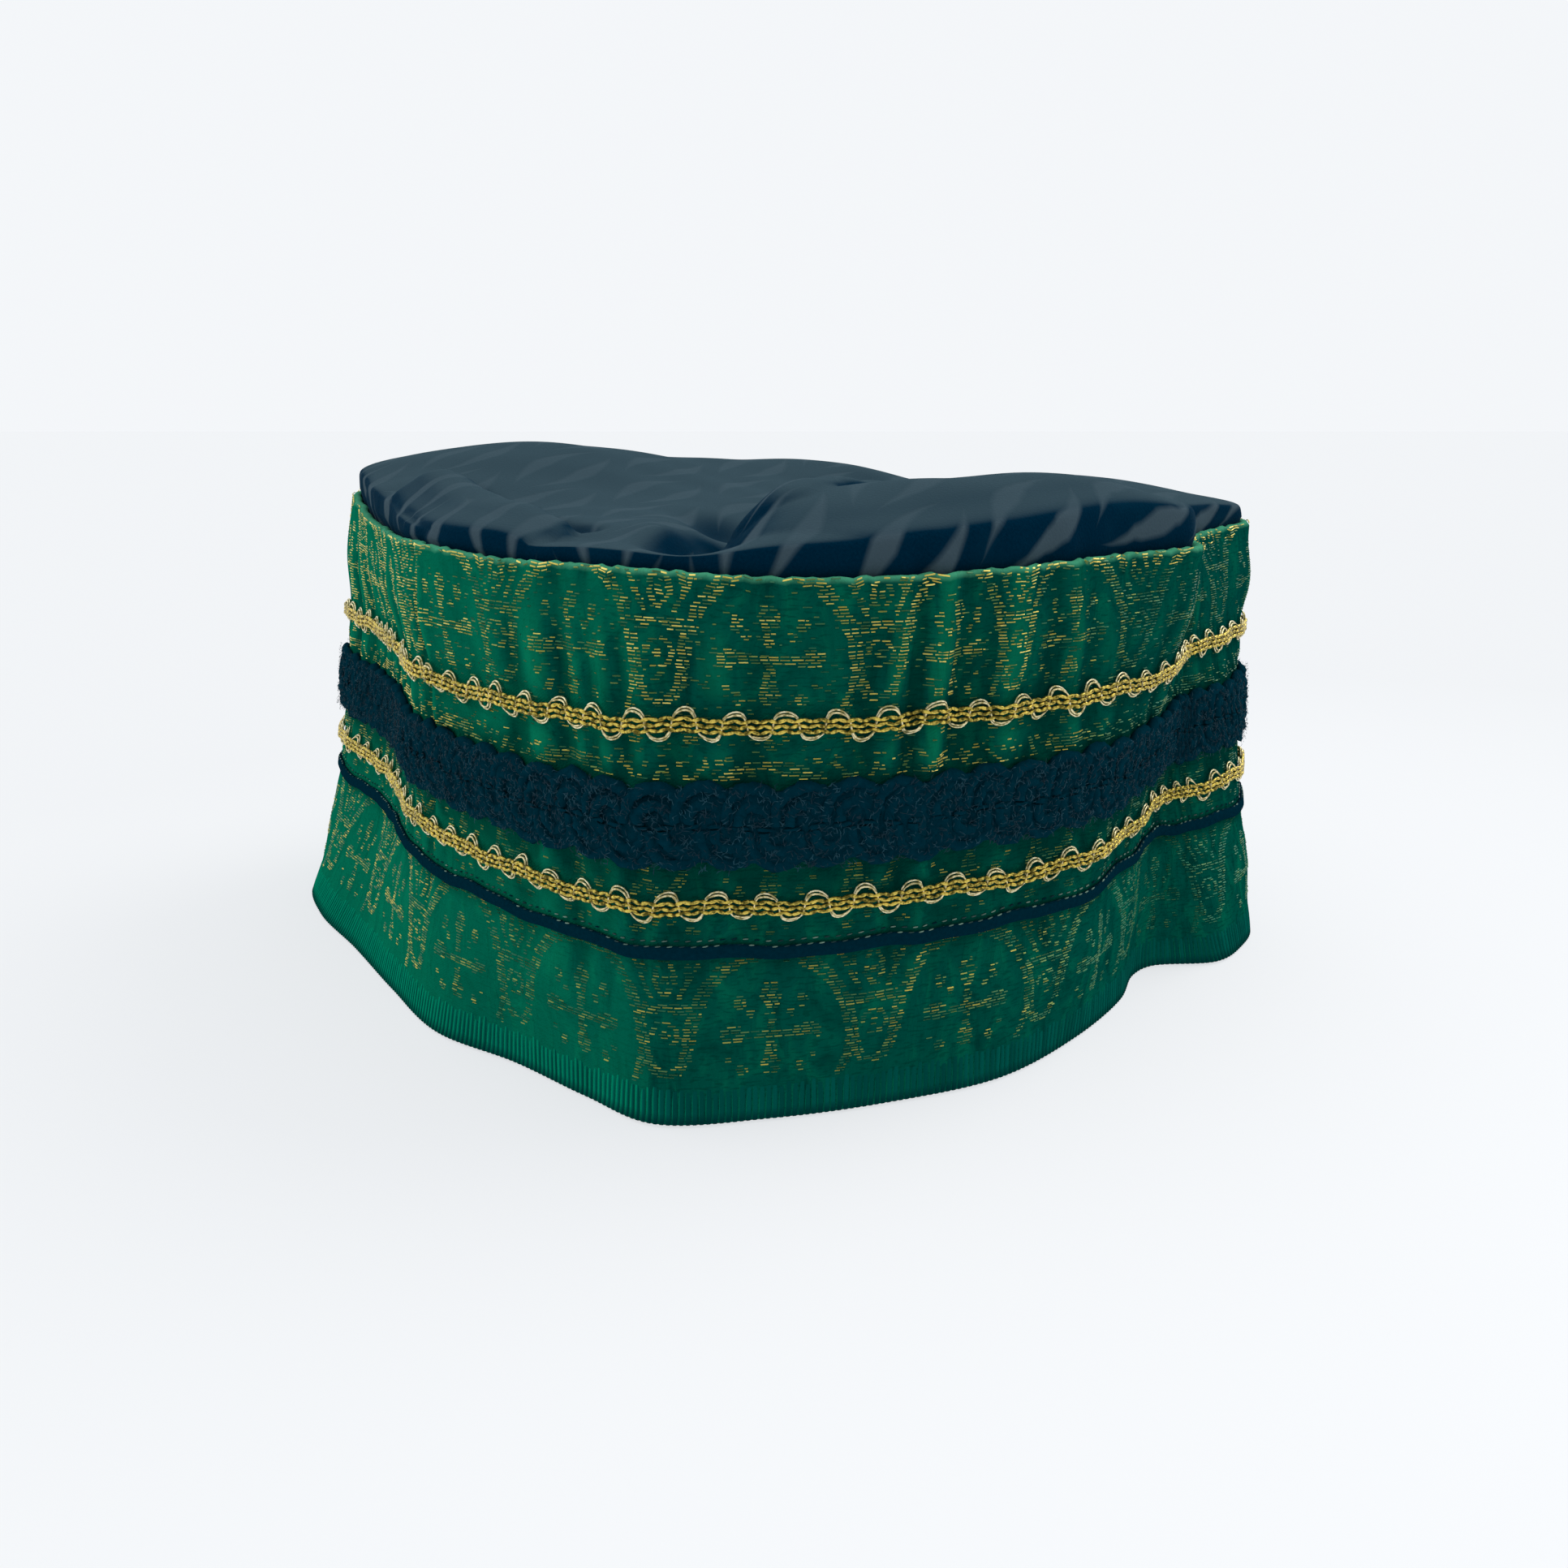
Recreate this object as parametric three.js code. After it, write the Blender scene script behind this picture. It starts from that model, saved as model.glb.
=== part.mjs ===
// A soft round cap: a brocade side band, a velvet crown puffed up inside its rim, and braids sewn round it.
// Millimetres, +Z up. The origin is on the surface that the cap rests on, under the middle of its base.
// The front of the cap faces -Y. The cap lies a little squashed, with corners at its left, front and right.

import * as THREE from 'three';

// Driving dimensions
const COLUMNS = 120;
const BAND_HEIGHT = 88;
const MID_HEIGHT = 38;
const WALL = 2;
const GAP = 0.3;
const RIM_ROUNDING = 0.7;
const RIM_WAVE_START = 64;
const LAP_STEP = 0.8;
const LAP_BEARING = -47;
const LAP_WIDTH = 12;
const LAP_FOOT = 57;
const CROWN_WALL = 1.5;
const CROWN_TUCK = 8;
const CROWN_LEVEL = 88;
const CROWN_BASE_RISE = 3;
const CROWN_FULLNESS = 18;
const CROWN_STEEPNESS = 0.36;
const CROWN_RINGS = [0.975, 0.92, 0.82, 0.68, 0.52, 0.36, 0.2];

// Outline of the band, a row for each direction from the middle axis.
// bearing: degrees from the front, positive towards +X; base, mid and rim: radius at height 0,
// at MID_HEIGHT and at the rim; rimHeight: how high the rim stands there, for it waves a little.
const SECTIONS = [
  { bearing: -180, base: 92.0, mid: 88.0, rim: 86.0, rimHeight: 90.0 },
  { bearing: -160, base: 92.5, mid: 89.5, rim: 87.5, rimHeight: 90.5 },
  { bearing: -140, base: 97.0, mid: 95.0, rim: 92.5, rimHeight: 92.0 },
  { bearing: -122, base: 105.0, mid: 104.0, rim: 102.0, rimHeight: 93.5 },
  { bearing: -109, base: 109.5, mid: 104.8, rim: 98.0, rimHeight: 92.0 },
  { bearing: -99, base: 108.0, mid: 94.5, rim: 87.5, rimHeight: 90.0 },
  { bearing: -89, base: 98.8, mid: 83.0, rim: 80.5, rimHeight: 88.9 },
  { bearing: -76, base: 87.2, mid: 75.2, rim: 74.8, rimHeight: 88.2 },
  { bearing: -60, base: 81.8, mid: 74.8, rim: 74.5, rimHeight: 88.4 },
  { bearing: -44, base: 82.2, mid: 75.8, rim: 76.5, rimHeight: 88.7 },
  { bearing: -30, base: 81.0, mid: 79.8, rim: 79.5, rimHeight: 88.1 },
  { bearing: -18, base: 85.7, mid: 84.5, rim: 82.5, rimHeight: 88.3 },
  { bearing: -9, base: 91.3, mid: 89.3, rim: 86.0, rimHeight: 88.2 },
  { bearing: 3, base: 88.5, mid: 88.0, rim: 87.5, rimHeight: 87.3 },
  { bearing: 16, base: 86.8, mid: 87.0, rim: 88.0, rimHeight: 87.2 },
  { bearing: 30, base: 87.1, mid: 87.0, rim: 88.5, rimHeight: 87.7 },
  { bearing: 45, base: 85.2, mid: 87.0, rim: 87.5, rimHeight: 87.8 },
  { bearing: 58, base: 85.0, mid: 85.6, rim: 92.0, rimHeight: 87.6 },
  { bearing: 66, base: 84.5, mid: 85.3, rim: 90.5, rimHeight: 87.0 },
  { bearing: 70, base: 87.5, mid: 86.3, rim: 89.5, rimHeight: 86.6 },
  { bearing: 74, base: 100.5, mid: 91.5, rim: 88.0, rimHeight: 86.5 },
  { bearing: 79, base: 106.0, mid: 98.5, rim: 89.5, rimHeight: 86.6 },
  { bearing: 85, base: 110.0, mid: 103.5, rim: 94.5, rimHeight: 86.9 },
  { bearing: 95, base: 108.5, mid: 106.5, rim: 107.0, rimHeight: 87.4 },
  { bearing: 110, base: 100.0, mid: 98.5, rim: 99.5, rimHeight: 88.2 },
  { bearing: 130, base: 91.0, mid: 89.0, rim: 88.0, rimHeight: 89.0 },
  { bearing: 150, base: 89.0, mid: 87.0, rim: 85.5, rimHeight: 89.5 },
  { bearing: 166, base: 90.5, mid: 87.0, rim: 85.5, rimHeight: 90.0 },
];

// Puckers of the band between its sewn braids, a row for each.
// bearing and width in degrees; depth: how far the cloth is drawn in; low to high: its heights.
const PUCKERS = [
  { bearing: -82, width: 5, depth: 1.2, low: 0, high: 58 },
  { bearing: -66, width: 4, depth: 0.9, low: 56, high: 90 },
  { bearing: -36, width: 4, depth: 0.9, low: 58, high: 90 },
  { bearing: -14, width: 4, depth: 0.8, low: 0, high: 36 },
  { bearing: 12, width: 4, depth: 0.8, low: 60, high: 88 },
  { bearing: 21, width: 3.5, depth: 1.1, low: 56, high: 86 },
  { bearing: 30, width: 3.5, depth: 1.3, low: 54, high: 88 },
  { bearing: 38, width: 3.5, depth: 1.1, low: 56, high: 86 },
  { bearing: 50, width: 4, depth: 1.2, low: 0, high: 60 },
  { bearing: 122, width: 5, depth: 1.0, low: 40, high: 90 },
  { bearing: 158, width: 5, depth: 1.0, low: 0, high: 60 },
  { bearing: -150, width: 5, depth: 1.0, low: 30, high: 90 },
];

// Heights of the band's own rows of cloth, outside from foot to rim and inside from rim to foot.
const OUTER_ROWS = [0, 12, 26, 38, 52, 66, 78];
const INNER_ROWS = [62, 34, 0];

// Cloths and threads, with the look of each.
const BROCADE = { color: 0x14705a, roughness: 0.5, metalness: 0.1 };
const VELVET = { color: 0x10202c, roughness: 0.9, metalness: 0 };
const GREEN_THREAD = { color: 0x1f9a6e, roughness: 0.6, metalness: 0 };
const BLACK_CORD = { color: 0x102c38, roughness: 0.7, metalness: 0 };
const CHENILLE = { color: 0x0b1d2a, roughness: 0.9, metalness: 0 };
const GOLD_THREAD = { color: 0xb8a45c, roughness: 0.4, metalness: 0.8 };

// Trims round the band, a row for each: the heights that it covers, how thick it is,
// and how far its edges scallop in and out at every other step.
const TRIMS = [
  { name: 'hem', low: 0.3, high: 7.2, thick: 0.8, scallop: 0, look: GREEN_THREAD },
  { name: 'black_cord', low: 28.6, high: 32.0, thick: 1.3, scallop: 0, look: BLACK_CORD },
  { name: 'gold_braid_lower', low: 34.9, high: 39.9, thick: 1.3, scallop: 0.6, look: GOLD_THREAD },
  { name: 'black_braid', low: 43.6, high: 57.0, thick: 2.0, scallop: 0.5, look: CHENILLE },
  { name: 'gold_braid_upper', low: 63.2, high: 68.2, thick: 1.3, scallop: 0.6, look: GOLD_THREAD },
];

// Puffs of the crown's velvet, a row for each swelling.
// x and y: its middle; turn: degrees of its long direction from +X; long and wide: its spread;
// rise: how high it stands.
const PUFFS = [
  { x: -56, y: 40, turn: 29, long: 46, wide: 34, rise: 9.3 },
  { x: -90, y: 32, turn: 80, long: 20, wide: 14, rise: 1.5 },
  { x: 12, y: 70, turn: 0, long: 34, wide: 20, rise: 4.5 },
  { x: 40, y: -52, turn: 24, long: 54, wide: 29, rise: 8.2 },
  { x: 70, y: 20, turn: 95, long: 40, wide: 26, rise: 5 },
  { x: -72, y: -12, turn: -58, long: 23, wide: 12, rise: 4.5 },
];

// Folds pressed into the crown, a row for each straight stretch from one place to the next.
// depth: how far the velvet sinks; width: how broad the fold is.
const FOLDS = [
  { fromX: -7, fromY: -72, toX: -4, toY: -20, depth: 5.0, width: 8 },
  { fromX: -4, fromY: -20, toX: 38, toY: 62, depth: 3.0, width: 10 },
  { fromX: -26, fromY: -66, toX: -10, toY: -78, depth: 2.0, width: 10 },
];

// Shape of the band

function outline(radius, height) {
  const points = SECTIONS.map((row) => {
    const angle = THREE.MathUtils.degToRad(row.bearing);
    return new THREE.Vector3(Math.sin(angle) * row[radius], -Math.cos(angle) * row[radius], height(row));
  });
  return new THREE.CatmullRomCurve3(points, true, 'centripetal');
}

const baseLine = outline('base', () => 0);
const midLine = outline('mid', () => MID_HEIGHT);
const rimLine = outline('rim', (row) => row.rimHeight);
baseLine.arcLengthDivisions = 2000;

// The middle of the base's box, which becomes the origin.
const baseBox = new THREE.Box3().setFromPoints(baseLine.getSpacedPoints(2000));
const middle = baseBox.getCenter(new THREE.Vector3());

// A point of the smooth band, between its three outlines, at a step round it and a height.
function smoothPoint(column, height) {
  const t = baseLine.getUtoTmapping(((column + COLUMNS) % COLUMNS) / COLUMNS);
  const v = height / BAND_HEIGHT;
  const m = MID_HEIGHT / BAND_HEIGHT;
  const point = new THREE.Vector3();
  point.addScaledVector(baseLine.getPoint(t), ((v - m) * (v - 1)) / m);
  point.addScaledVector(midLine.getPoint(t), (v * (v - 1)) / (m * (m - 1)));
  const rim = rimLine.getPoint(t);
  point.addScaledVector(rim, (v * (v - m)) / (1 - m));
  const wave = THREE.MathUtils.smoothstep(height, RIM_WAVE_START, BAND_HEIGHT);
  point.z = height + (rim.z - BAND_HEIGHT) * wave;
  point.x -= middle.x;
  point.y -= middle.y;
  return point;
}

// Degrees from the front to a point of the plan.
function bearingOf(point) {
  return THREE.MathUtils.radToDeg(Math.atan2(point.x, -point.y));
}

// How far the cloth stands out from the smooth band, for its puckers and its lap seam.
function relief(point, height) {
  const bearing = bearingOf(point);
  let out = 0;
  for (const row of PUCKERS) {
    const across = THREE.MathUtils.euclideanModulo(bearing - row.bearing + 180, 360) - 180;
    const along = (height - row.low) / (row.high - row.low);
    if (along > 0 && along < 1) {
      out -= row.depth * Math.exp(-((across / row.width) ** 2)) * Math.sin(Math.PI * along);
    }
  }
  const pastLap = (bearing - LAP_BEARING) / LAP_WIDTH;
  if (height >= LAP_FOOT && pastLap > 0 && pastLap < 1) {
    out += LAP_STEP * (1 - pastLap);
  }
  return out;
}

// A point of the band's cloth, moved out from its outer face by a distance.
function bandPoint(column, height, out) {
  const point = smoothPoint(column, height);
  const along = smoothPoint(column + 1, height).sub(smoothPoint(column - 1, height));
  const normal = new THREE.Vector3(along.y, -along.x, 0).normalize();
  return point.addScaledVector(normal, out + relief(point, height));
}

// Solids

function skinFrom(points, faces) {
  const geometry = new THREE.BufferGeometry().setFromPoints(points);
  geometry.setIndex(faces);
  geometry.computeVertexNormals();
  return geometry;
}

function pieceFrom(name, points, faces, look) {
  const mesh = new THREE.Mesh(skinFrom(points, faces), new THREE.MeshStandardMaterial(look));
  mesh.name = name;
  return mesh;
}

// Two triangles between two columns of points, from one row to the next, facing left of the way round.
function quad(a, b, c, d) {
  return [a, b, c, a, c, d];
}

// A closed ring whose cross-section is a loop of corners, each a height and a distance out,
// listed up the outside and then down the inside.
function ring(name, cornersAt, look) {
  const points = [];
  const faces = [];
  const corners = cornersAt(0).length;
  for (let column = 0; column < COLUMNS; column += 1) {
    for (const [height, out] of cornersAt(column)) {
      points.push(bandPoint(column, height, out));
    }
    const here = column * corners;
    const next = ((column + 1) % COLUMNS) * corners;
    for (let corner = 0; corner < corners; corner += 1) {
      const after = (corner + 1) % corners;
      faces.push(...quad(here + corner, next + corner, next + after, here + after));
    }
  }
  return pieceFrom(name, points, faces, look);
}

// The band: two layers of brocade turned over at the rim.
function sideBand() {
  const corners = [
    ...OUTER_ROWS.map((height) => [height, 0]),
    [BAND_HEIGHT - RIM_ROUNDING, 0],
    [BAND_HEIGHT, -RIM_ROUNDING],
    [BAND_HEIGHT, RIM_ROUNDING - WALL],
    ...INNER_ROWS.map((height) => [height, -WALL]),
  ];
  return ring('side_band', () => corners, BROCADE);
}

// A braid, cord or hem lying on the band.
function trim(row) {
  const cornersAt = (column) => {
    const swing = column % 2 === 0 ? row.scallop : -row.scallop;
    const outside = GAP + row.thick;
    return [
      [row.low - swing, outside],
      [row.high + swing, outside],
      [row.high + swing, GAP],
      [row.low - swing, GAP],
    ];
  };
  return ring(row.name, cornersAt, row.look);
}

// How high the velvet stands above the rim's level at a place of the plan.
function crownRise(x, y) {
  let rise = CROWN_BASE_RISE;
  for (const puff of PUFFS) {
    const turn = THREE.MathUtils.degToRad(puff.turn);
    const alongX = (x - puff.x) * Math.cos(turn) + (y - puff.y) * Math.sin(turn);
    const alongY = (y - puff.y) * Math.cos(turn) - (x - puff.x) * Math.sin(turn);
    rise += puff.rise * Math.exp(-((alongX / puff.long) ** 2) - (alongY / puff.wide) ** 2);
  }
  for (const fold of FOLDS) {
    const start = new THREE.Vector3(fold.fromX, fold.fromY, 0);
    const end = new THREE.Vector3(fold.toX, fold.toY, 0);
    const place = new THREE.Vector3(x, y, 0);
    const nearest = new THREE.Line3(start, end).closestPointToPoint(place, true, new THREE.Vector3());
    rise -= fold.depth * Math.exp(-((nearest.distanceTo(place) / fold.width) ** 2));
  }
  return rise;
}

// The crown: a thin shell, open below, whose edge is tucked down inside the rim.
function crown() {
  const edge = -WALL - GAP;
  const rings = 2 + CROWN_RINGS.length;
  const top = [];
  for (let column = 0; column < COLUMNS; column += 1) {
    const rim = bandPoint(column, BAND_HEIGHT, edge);
    const tuck = bandPoint(column, BAND_HEIGHT - CROWN_TUCK, edge);
    top.push(tuck, rim);
    for (const reach of CROWN_RINGS) {
      const level = CROWN_LEVEL + (rim.z - CROWN_LEVEL) * reach ** 2;
      const fullness = (1 - reach ** CROWN_FULLNESS) ** CROWN_STEEPNESS;
      const x = rim.x * reach;
      const y = rim.y * reach;
      top.push(new THREE.Vector3(x, y, level + crownRise(x, y) * fullness));
    }
  }
  top.push(new THREE.Vector3(0, 0, CROWN_LEVEL + crownRise(0, 0)));
  const pole = COLUMNS * rings;

  const topFaces = [];
  for (let column = 0; column < COLUMNS; column += 1) {
    const here = column * rings;
    const next = ((column + 1) % COLUMNS) * rings;
    for (let row = 0; row < rings - 1; row += 1) {
      topFaces.push(...quad(here + row, next + row, next + row + 1, here + row + 1));
    }
    topFaces.push(here + rings - 1, next + rings - 1, pole);
  }

  const normal = skinFrom(top, topFaces).getAttribute('normal');
  const under = top.map((point, index) => {
    const inward = new THREE.Vector3().fromBufferAttribute(normal, index).negate();
    return point.clone().addScaledVector(inward, CROWN_WALL);
  });
  const shift = top.length;
  const faces = [...topFaces];
  for (let index = 0; index < topFaces.length; index += 3) {
    faces.push(topFaces[index] + shift, topFaces[index + 2] + shift, topFaces[index + 1] + shift);
  }
  for (let column = 0; column < COLUMNS; column += 1) {
    const here = column * rings;
    const next = ((column + 1) % COLUMNS) * rings;
    faces.push(...quad(next, here, here + shift, next + shift));
  }
  return pieceFrom('crown', [...top, ...under], faces, VELVET);
}

// Assembly
const hat = new THREE.Group();
hat.add(sideBand());
hat.add(crown());
for (const row of TRIMS) {
  hat.add(trim(row));
}

export default hat;
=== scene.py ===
"""A soft cap of green and gold brocade with a black velvet crown, braided round its side.

Metres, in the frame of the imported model: +Z up, the front of the cap faces -Y.
The cloth and the trims are laid out flat in millimetres first, along the band, up it and out of it,
and are then sewn round the cap by one function.
"""

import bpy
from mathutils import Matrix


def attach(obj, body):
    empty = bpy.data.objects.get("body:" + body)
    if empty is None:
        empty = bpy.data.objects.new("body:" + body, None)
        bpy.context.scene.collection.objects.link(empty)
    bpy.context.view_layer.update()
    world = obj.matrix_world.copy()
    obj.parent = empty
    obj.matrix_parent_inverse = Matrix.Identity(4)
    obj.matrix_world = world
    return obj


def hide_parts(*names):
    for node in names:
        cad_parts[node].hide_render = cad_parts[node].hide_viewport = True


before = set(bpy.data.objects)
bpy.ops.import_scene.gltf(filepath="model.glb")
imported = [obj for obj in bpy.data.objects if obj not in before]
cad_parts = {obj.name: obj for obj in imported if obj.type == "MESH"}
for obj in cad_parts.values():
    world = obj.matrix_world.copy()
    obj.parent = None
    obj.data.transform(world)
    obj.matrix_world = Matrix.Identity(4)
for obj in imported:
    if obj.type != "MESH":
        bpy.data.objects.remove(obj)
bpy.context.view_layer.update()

import math
import random

import bpy
import numpy as np
from mathutils import Vector, noise

# Brocade side band
# A straight strip of satin brocade, two layers with a turned rim, closed by a lap seam at the left
# front. The sewn braids draw it in, so it puffs and gathers between them.

COLUMNS = 120
BAND_HEIGHT = 88.0
MID_HEIGHT = 38.0
WALL = 2.0
RIM_WAVE_START = 64.0
LAP_STEP = 0.8
LAP_BEARING = -47.0
LAP_WIDTH = 12.0
LAP_FOOT = 57.0

# Bearing from the front in degrees, then the radius at the base, at MID_HEIGHT and at the rim,
# and the rim's height.
SECTIONS = np.array(
    [
        (-180, 92.0, 88.0, 86.0, 90.0),
        (-160, 92.5, 89.5, 87.5, 90.5),
        (-140, 97.0, 95.0, 92.5, 92.0),
        (-122, 105.0, 104.0, 102.0, 93.5),
        (-109, 109.5, 104.8, 98.0, 92.0),
        (-99, 108.0, 94.5, 87.5, 90.0),
        (-89, 98.8, 83.0, 80.5, 88.9),
        (-76, 87.2, 75.2, 74.8, 88.2),
        (-60, 81.8, 74.8, 74.5, 88.4),
        (-44, 82.2, 75.8, 76.5, 88.7),
        (-30, 81.0, 79.8, 79.5, 88.1),
        (-18, 85.7, 84.5, 82.5, 88.3),
        (-9, 91.3, 89.3, 86.0, 88.2),
        (3, 88.5, 88.0, 87.5, 87.3),
        (16, 86.8, 87.0, 88.0, 87.2),
        (30, 87.1, 87.0, 88.5, 87.7),
        (45, 85.2, 87.0, 87.5, 87.8),
        (58, 85.0, 85.6, 92.0, 87.6),
        (66, 84.5, 85.3, 90.5, 87.0),
        (70, 87.5, 86.3, 89.5, 86.6),
        (74, 100.5, 91.5, 88.0, 86.5),
        (79, 106.0, 98.5, 89.5, 86.6),
        (85, 110.0, 103.5, 94.5, 86.9),
        (95, 108.5, 106.5, 107.0, 87.4),
        (110, 100.0, 98.5, 99.5, 88.2),
        (130, 91.0, 89.0, 88.0, 89.0),
        (150, 89.0, 87.0, 85.5, 89.5),
        (166, 90.5, 87.0, 85.5, 90.0),
    ]
)

# Bearing and width in degrees, depth, then the heights between which the cloth is drawn in.
PUCKERS = [
    (-82, 5, 1.2, 0, 58),
    (-66, 4, 0.9, 56, 90),
    (-36, 4, 0.9, 58, 90),
    (-14, 4, 0.8, 0, 36),
    (12, 4, 0.8, 60, 88),
    (21, 3.5, 0.6, 56, 86),
    (30, 3.5, 0.8, 54, 88),
    (38, 3.5, 0.7, 56, 86),
    (50, 4, 1.2, 0, 60),
    (122, 5, 1.0, 40, 90),
    (158, 5, 1.0, 0, 60),
    (-150, 5, 1.0, 30, 90),
]

# Gathers: waves round the cap, phase in turns, share of the whole.
GATHERS = [(37, 0.13, 0.8), (52, 0.61, 1.0), (71, 0.37, 0.8), (94, 0.83, 0.45)]
# Where the gathers are strongest: height, spread and depth.
GATHERED_HEIGHTS = [
    (25.0, 4.0, 0.16),
    (33.4, 2.2, 0.2),
    (41.8, 2.6, 0.34),
    (60.2, 3.6, 0.42),
    (73.5, 6.5, 0.4),
    (87.5, 3.0, 0.16),
]
# Columns and heights where far more cloth is gathered in, at the right front.
CROWDED_COLUMN = 67.0
CROWDED_SPREAD = 5.0
CROWDED_FOOT = 57.0
CROWDED_DEPTH = 0.24
# Sharp pleats among the gathers: how many round the cap, and their depth.
PLEATS = 83
PLEAT_DEPTH = 1.1
# Where the cloth puffs out between its sewn lines: foot, how tall, how far out.
PUFFED = [(6, 23, 0.7), (67, 21, 0.9)]
SLOW_WAVE = 0.35
# Heights beside the sewn trims where shade is painted into the satin: middle, spread and how dark it is.
TRIM_SHADE = [
    (28.0, 1.5, 0.25),
    (33.4, 1.5, 0.2),
    (41.0, 2.0, 0.35),
    (43.2, 2.0, 0.5),
    (57.6, 2.6, 0.55),
    (62.8, 1.2, 0.2),
    (68.6, 1.2, 0.2),
]
# Uneven threads on the rim: waves round the cap, phase and share.
FRAYS = [(173, 0.0, 1.0), (127, 1.0, 1.0), (233, 2.0, 0.7)]
FRAYED_FOOT = 83.0
# The wall's heights: its bottom, foot, top of the outside, middle of the turned rim, top of the inside.
WALL_BOTTOM = 0.45
WALL_FOOT = 0.6
OUTSIDE_TOP = 87.3
TURNED_MIDDLE = 87.1
INSIDE_TOP = 86.0
BAND_STEPS = 600


def closed_curve(radii, heights):
    """Coefficients of a smooth closed curve through the sections, centripetal Catmull-Rom."""
    angle = np.radians(SECTIONS[:, 0])
    here = np.stack([np.sin(angle) * radii, -np.cos(angle) * radii, heights], axis=1)
    before, after, beyond = (np.roll(here, shift, axis=0) for shift in (1, -1, -2))
    chord_in, chord, chord_out = (
        np.sqrt(np.linalg.norm(b - a, axis=1))[:, None]
        for a, b in ((before, here), (here, after), (after, beyond))
    )
    leave = (here - before) / chord_in - (after - before) / (chord_in + chord) + (after - here) / chord
    arrive = (after - here) / chord - (beyond - here) / (chord + chord_out) + (beyond - after) / chord_out
    leave, arrive = leave * chord, arrive * chord
    return np.stack(
        [here, leave, 3 * (after - here) - 2 * leave - arrive, 2 * (here - after) + leave + arrive]
    )


def along_curve(curve, t):
    place = np.asarray(t) * curve.shape[1]
    section = np.floor(place).astype(int) % curve.shape[1]
    w = (place - np.floor(place))[:, None]
    c = curve[:, section]
    return c[0] + w * (c[1] + w * (c[2] + w * c[3]))


base_line = closed_curve(SECTIONS[:, 1], 0 * SECTIONS[:, 0])
mid_line = closed_curve(SECTIONS[:, 2], 0 * SECTIONS[:, 0] + MID_HEIGHT)
rim_line = closed_curve(SECTIONS[:, 3], SECTIONS[:, 4])
turns = np.linspace(0, 1, 2001)
steps = np.linalg.norm(np.diff(along_curve(base_line, turns), axis=0), axis=1)
walked = np.concatenate([[0], np.cumsum(steps)])
ROUND = walked[-1]
spaced = along_curve(base_line, np.interp(turns * ROUND, walked, turns))
middle = (spaced.min(axis=0) + spaced.max(axis=0)) / 2


def smoothstep(value, low, high):
    x = np.clip((value - low) / (high - low), 0, 1)
    return x * x * (3 - 2 * x)


def smooth_band(column, height):
    t = np.interp((column % COLUMNS) / COLUMNS * ROUND, walked, turns)
    v = height / BAND_HEIGHT
    m = MID_HEIGHT / BAND_HEIGHT
    rim = along_curve(rim_line, t)
    point = (
        along_curve(base_line, t) * ((v - m) * (v - 1) / m)[:, None]
        + along_curve(mid_line, t) * (v * (v - 1) / (m * (m - 1)))[:, None]
        + rim * (v * (v - m) / (1 - m))[:, None]
    )
    point[:, 2] = height + (rim[:, 2] - BAND_HEIGHT) * smoothstep(height, RIM_WAVE_START, BAND_HEIGHT)
    point[:, :2] -= middle[:2]
    return point


def bearing_of(point):
    return np.degrees(np.arctan2(point[:, 0], -point[:, 1]))


def near_heights(height, table):
    """The sum of a table's rows, each a height, how far it spreads, and its strength."""
    return sum(strength * np.exp(-(((height - level) / spread) ** 2)) for level, spread, strength in table)


def gathers(column, height):
    """The fine waves that the sewn braids press into the cloth, in mm."""
    turn = column / COLUMNS
    wander = 0.0016 * np.sin(2 * np.pi * turn * 13)
    turn = turn + wander + 0.00012 * (height - 60) * np.sin(2 * np.pi * turn * 7)
    wave = sum(share * np.sin(2 * np.pi * (turn * count + phase)) for count, phase, share in GATHERS)
    wave += PLEAT_DEPTH * (np.abs(np.sin(np.pi * (turn * PLEATS + 0.2))) - 0.64)
    swell = 0.65 + 0.35 * np.sin(2 * np.pi * (turn * 9 + 0.2)) + 0.2 * np.sin(2 * np.pi * turn * 17)
    crowded = np.exp(-(((column - CROWDED_COLUMN) / CROWDED_SPREAD) ** 2))
    crowded = crowded * smoothstep(height, CROWDED_FOOT - 4, CROWDED_FOOT + 6)
    return wave * (swell * near_heights(height, GATHERED_HEIGHTS) + CROWDED_DEPTH * crowded)


def puffing(column, height):
    """How far the cloth swells between its sewn lines, in mm."""
    swollen = sum(
        far * np.sin(np.pi * np.clip((height - foot) / tall, 0, 1)) ** 2 for foot, tall, far in PUFFED
    )
    slow = np.sin(2 * np.pi * (column / COLUMNS * 13 + 0.4)) * np.sin(np.pi * height / BAND_HEIGHT)
    return swollen + SLOW_WAVE * slow


def relief(point, column, height):
    bearing = bearing_of(point)
    out = gathers(column, height) + puffing(column, height)
    for place, width, depth, low, high in PUCKERS:
        across = (bearing - place + 180) % 360 - 180
        along = (height - low) / (high - low)
        inside = (along > 0) & (along < 1)
        out -= inside * depth * np.exp(-((across / width) ** 2)) * np.sin(np.pi * along)
    past_lap = (bearing - LAP_BEARING) / LAP_WIDTH
    lapped = (height >= LAP_FOOT) & (past_lap > 0) & (past_lap < 1)
    return out + lapped * LAP_STEP * (1 - past_lap)


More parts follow.
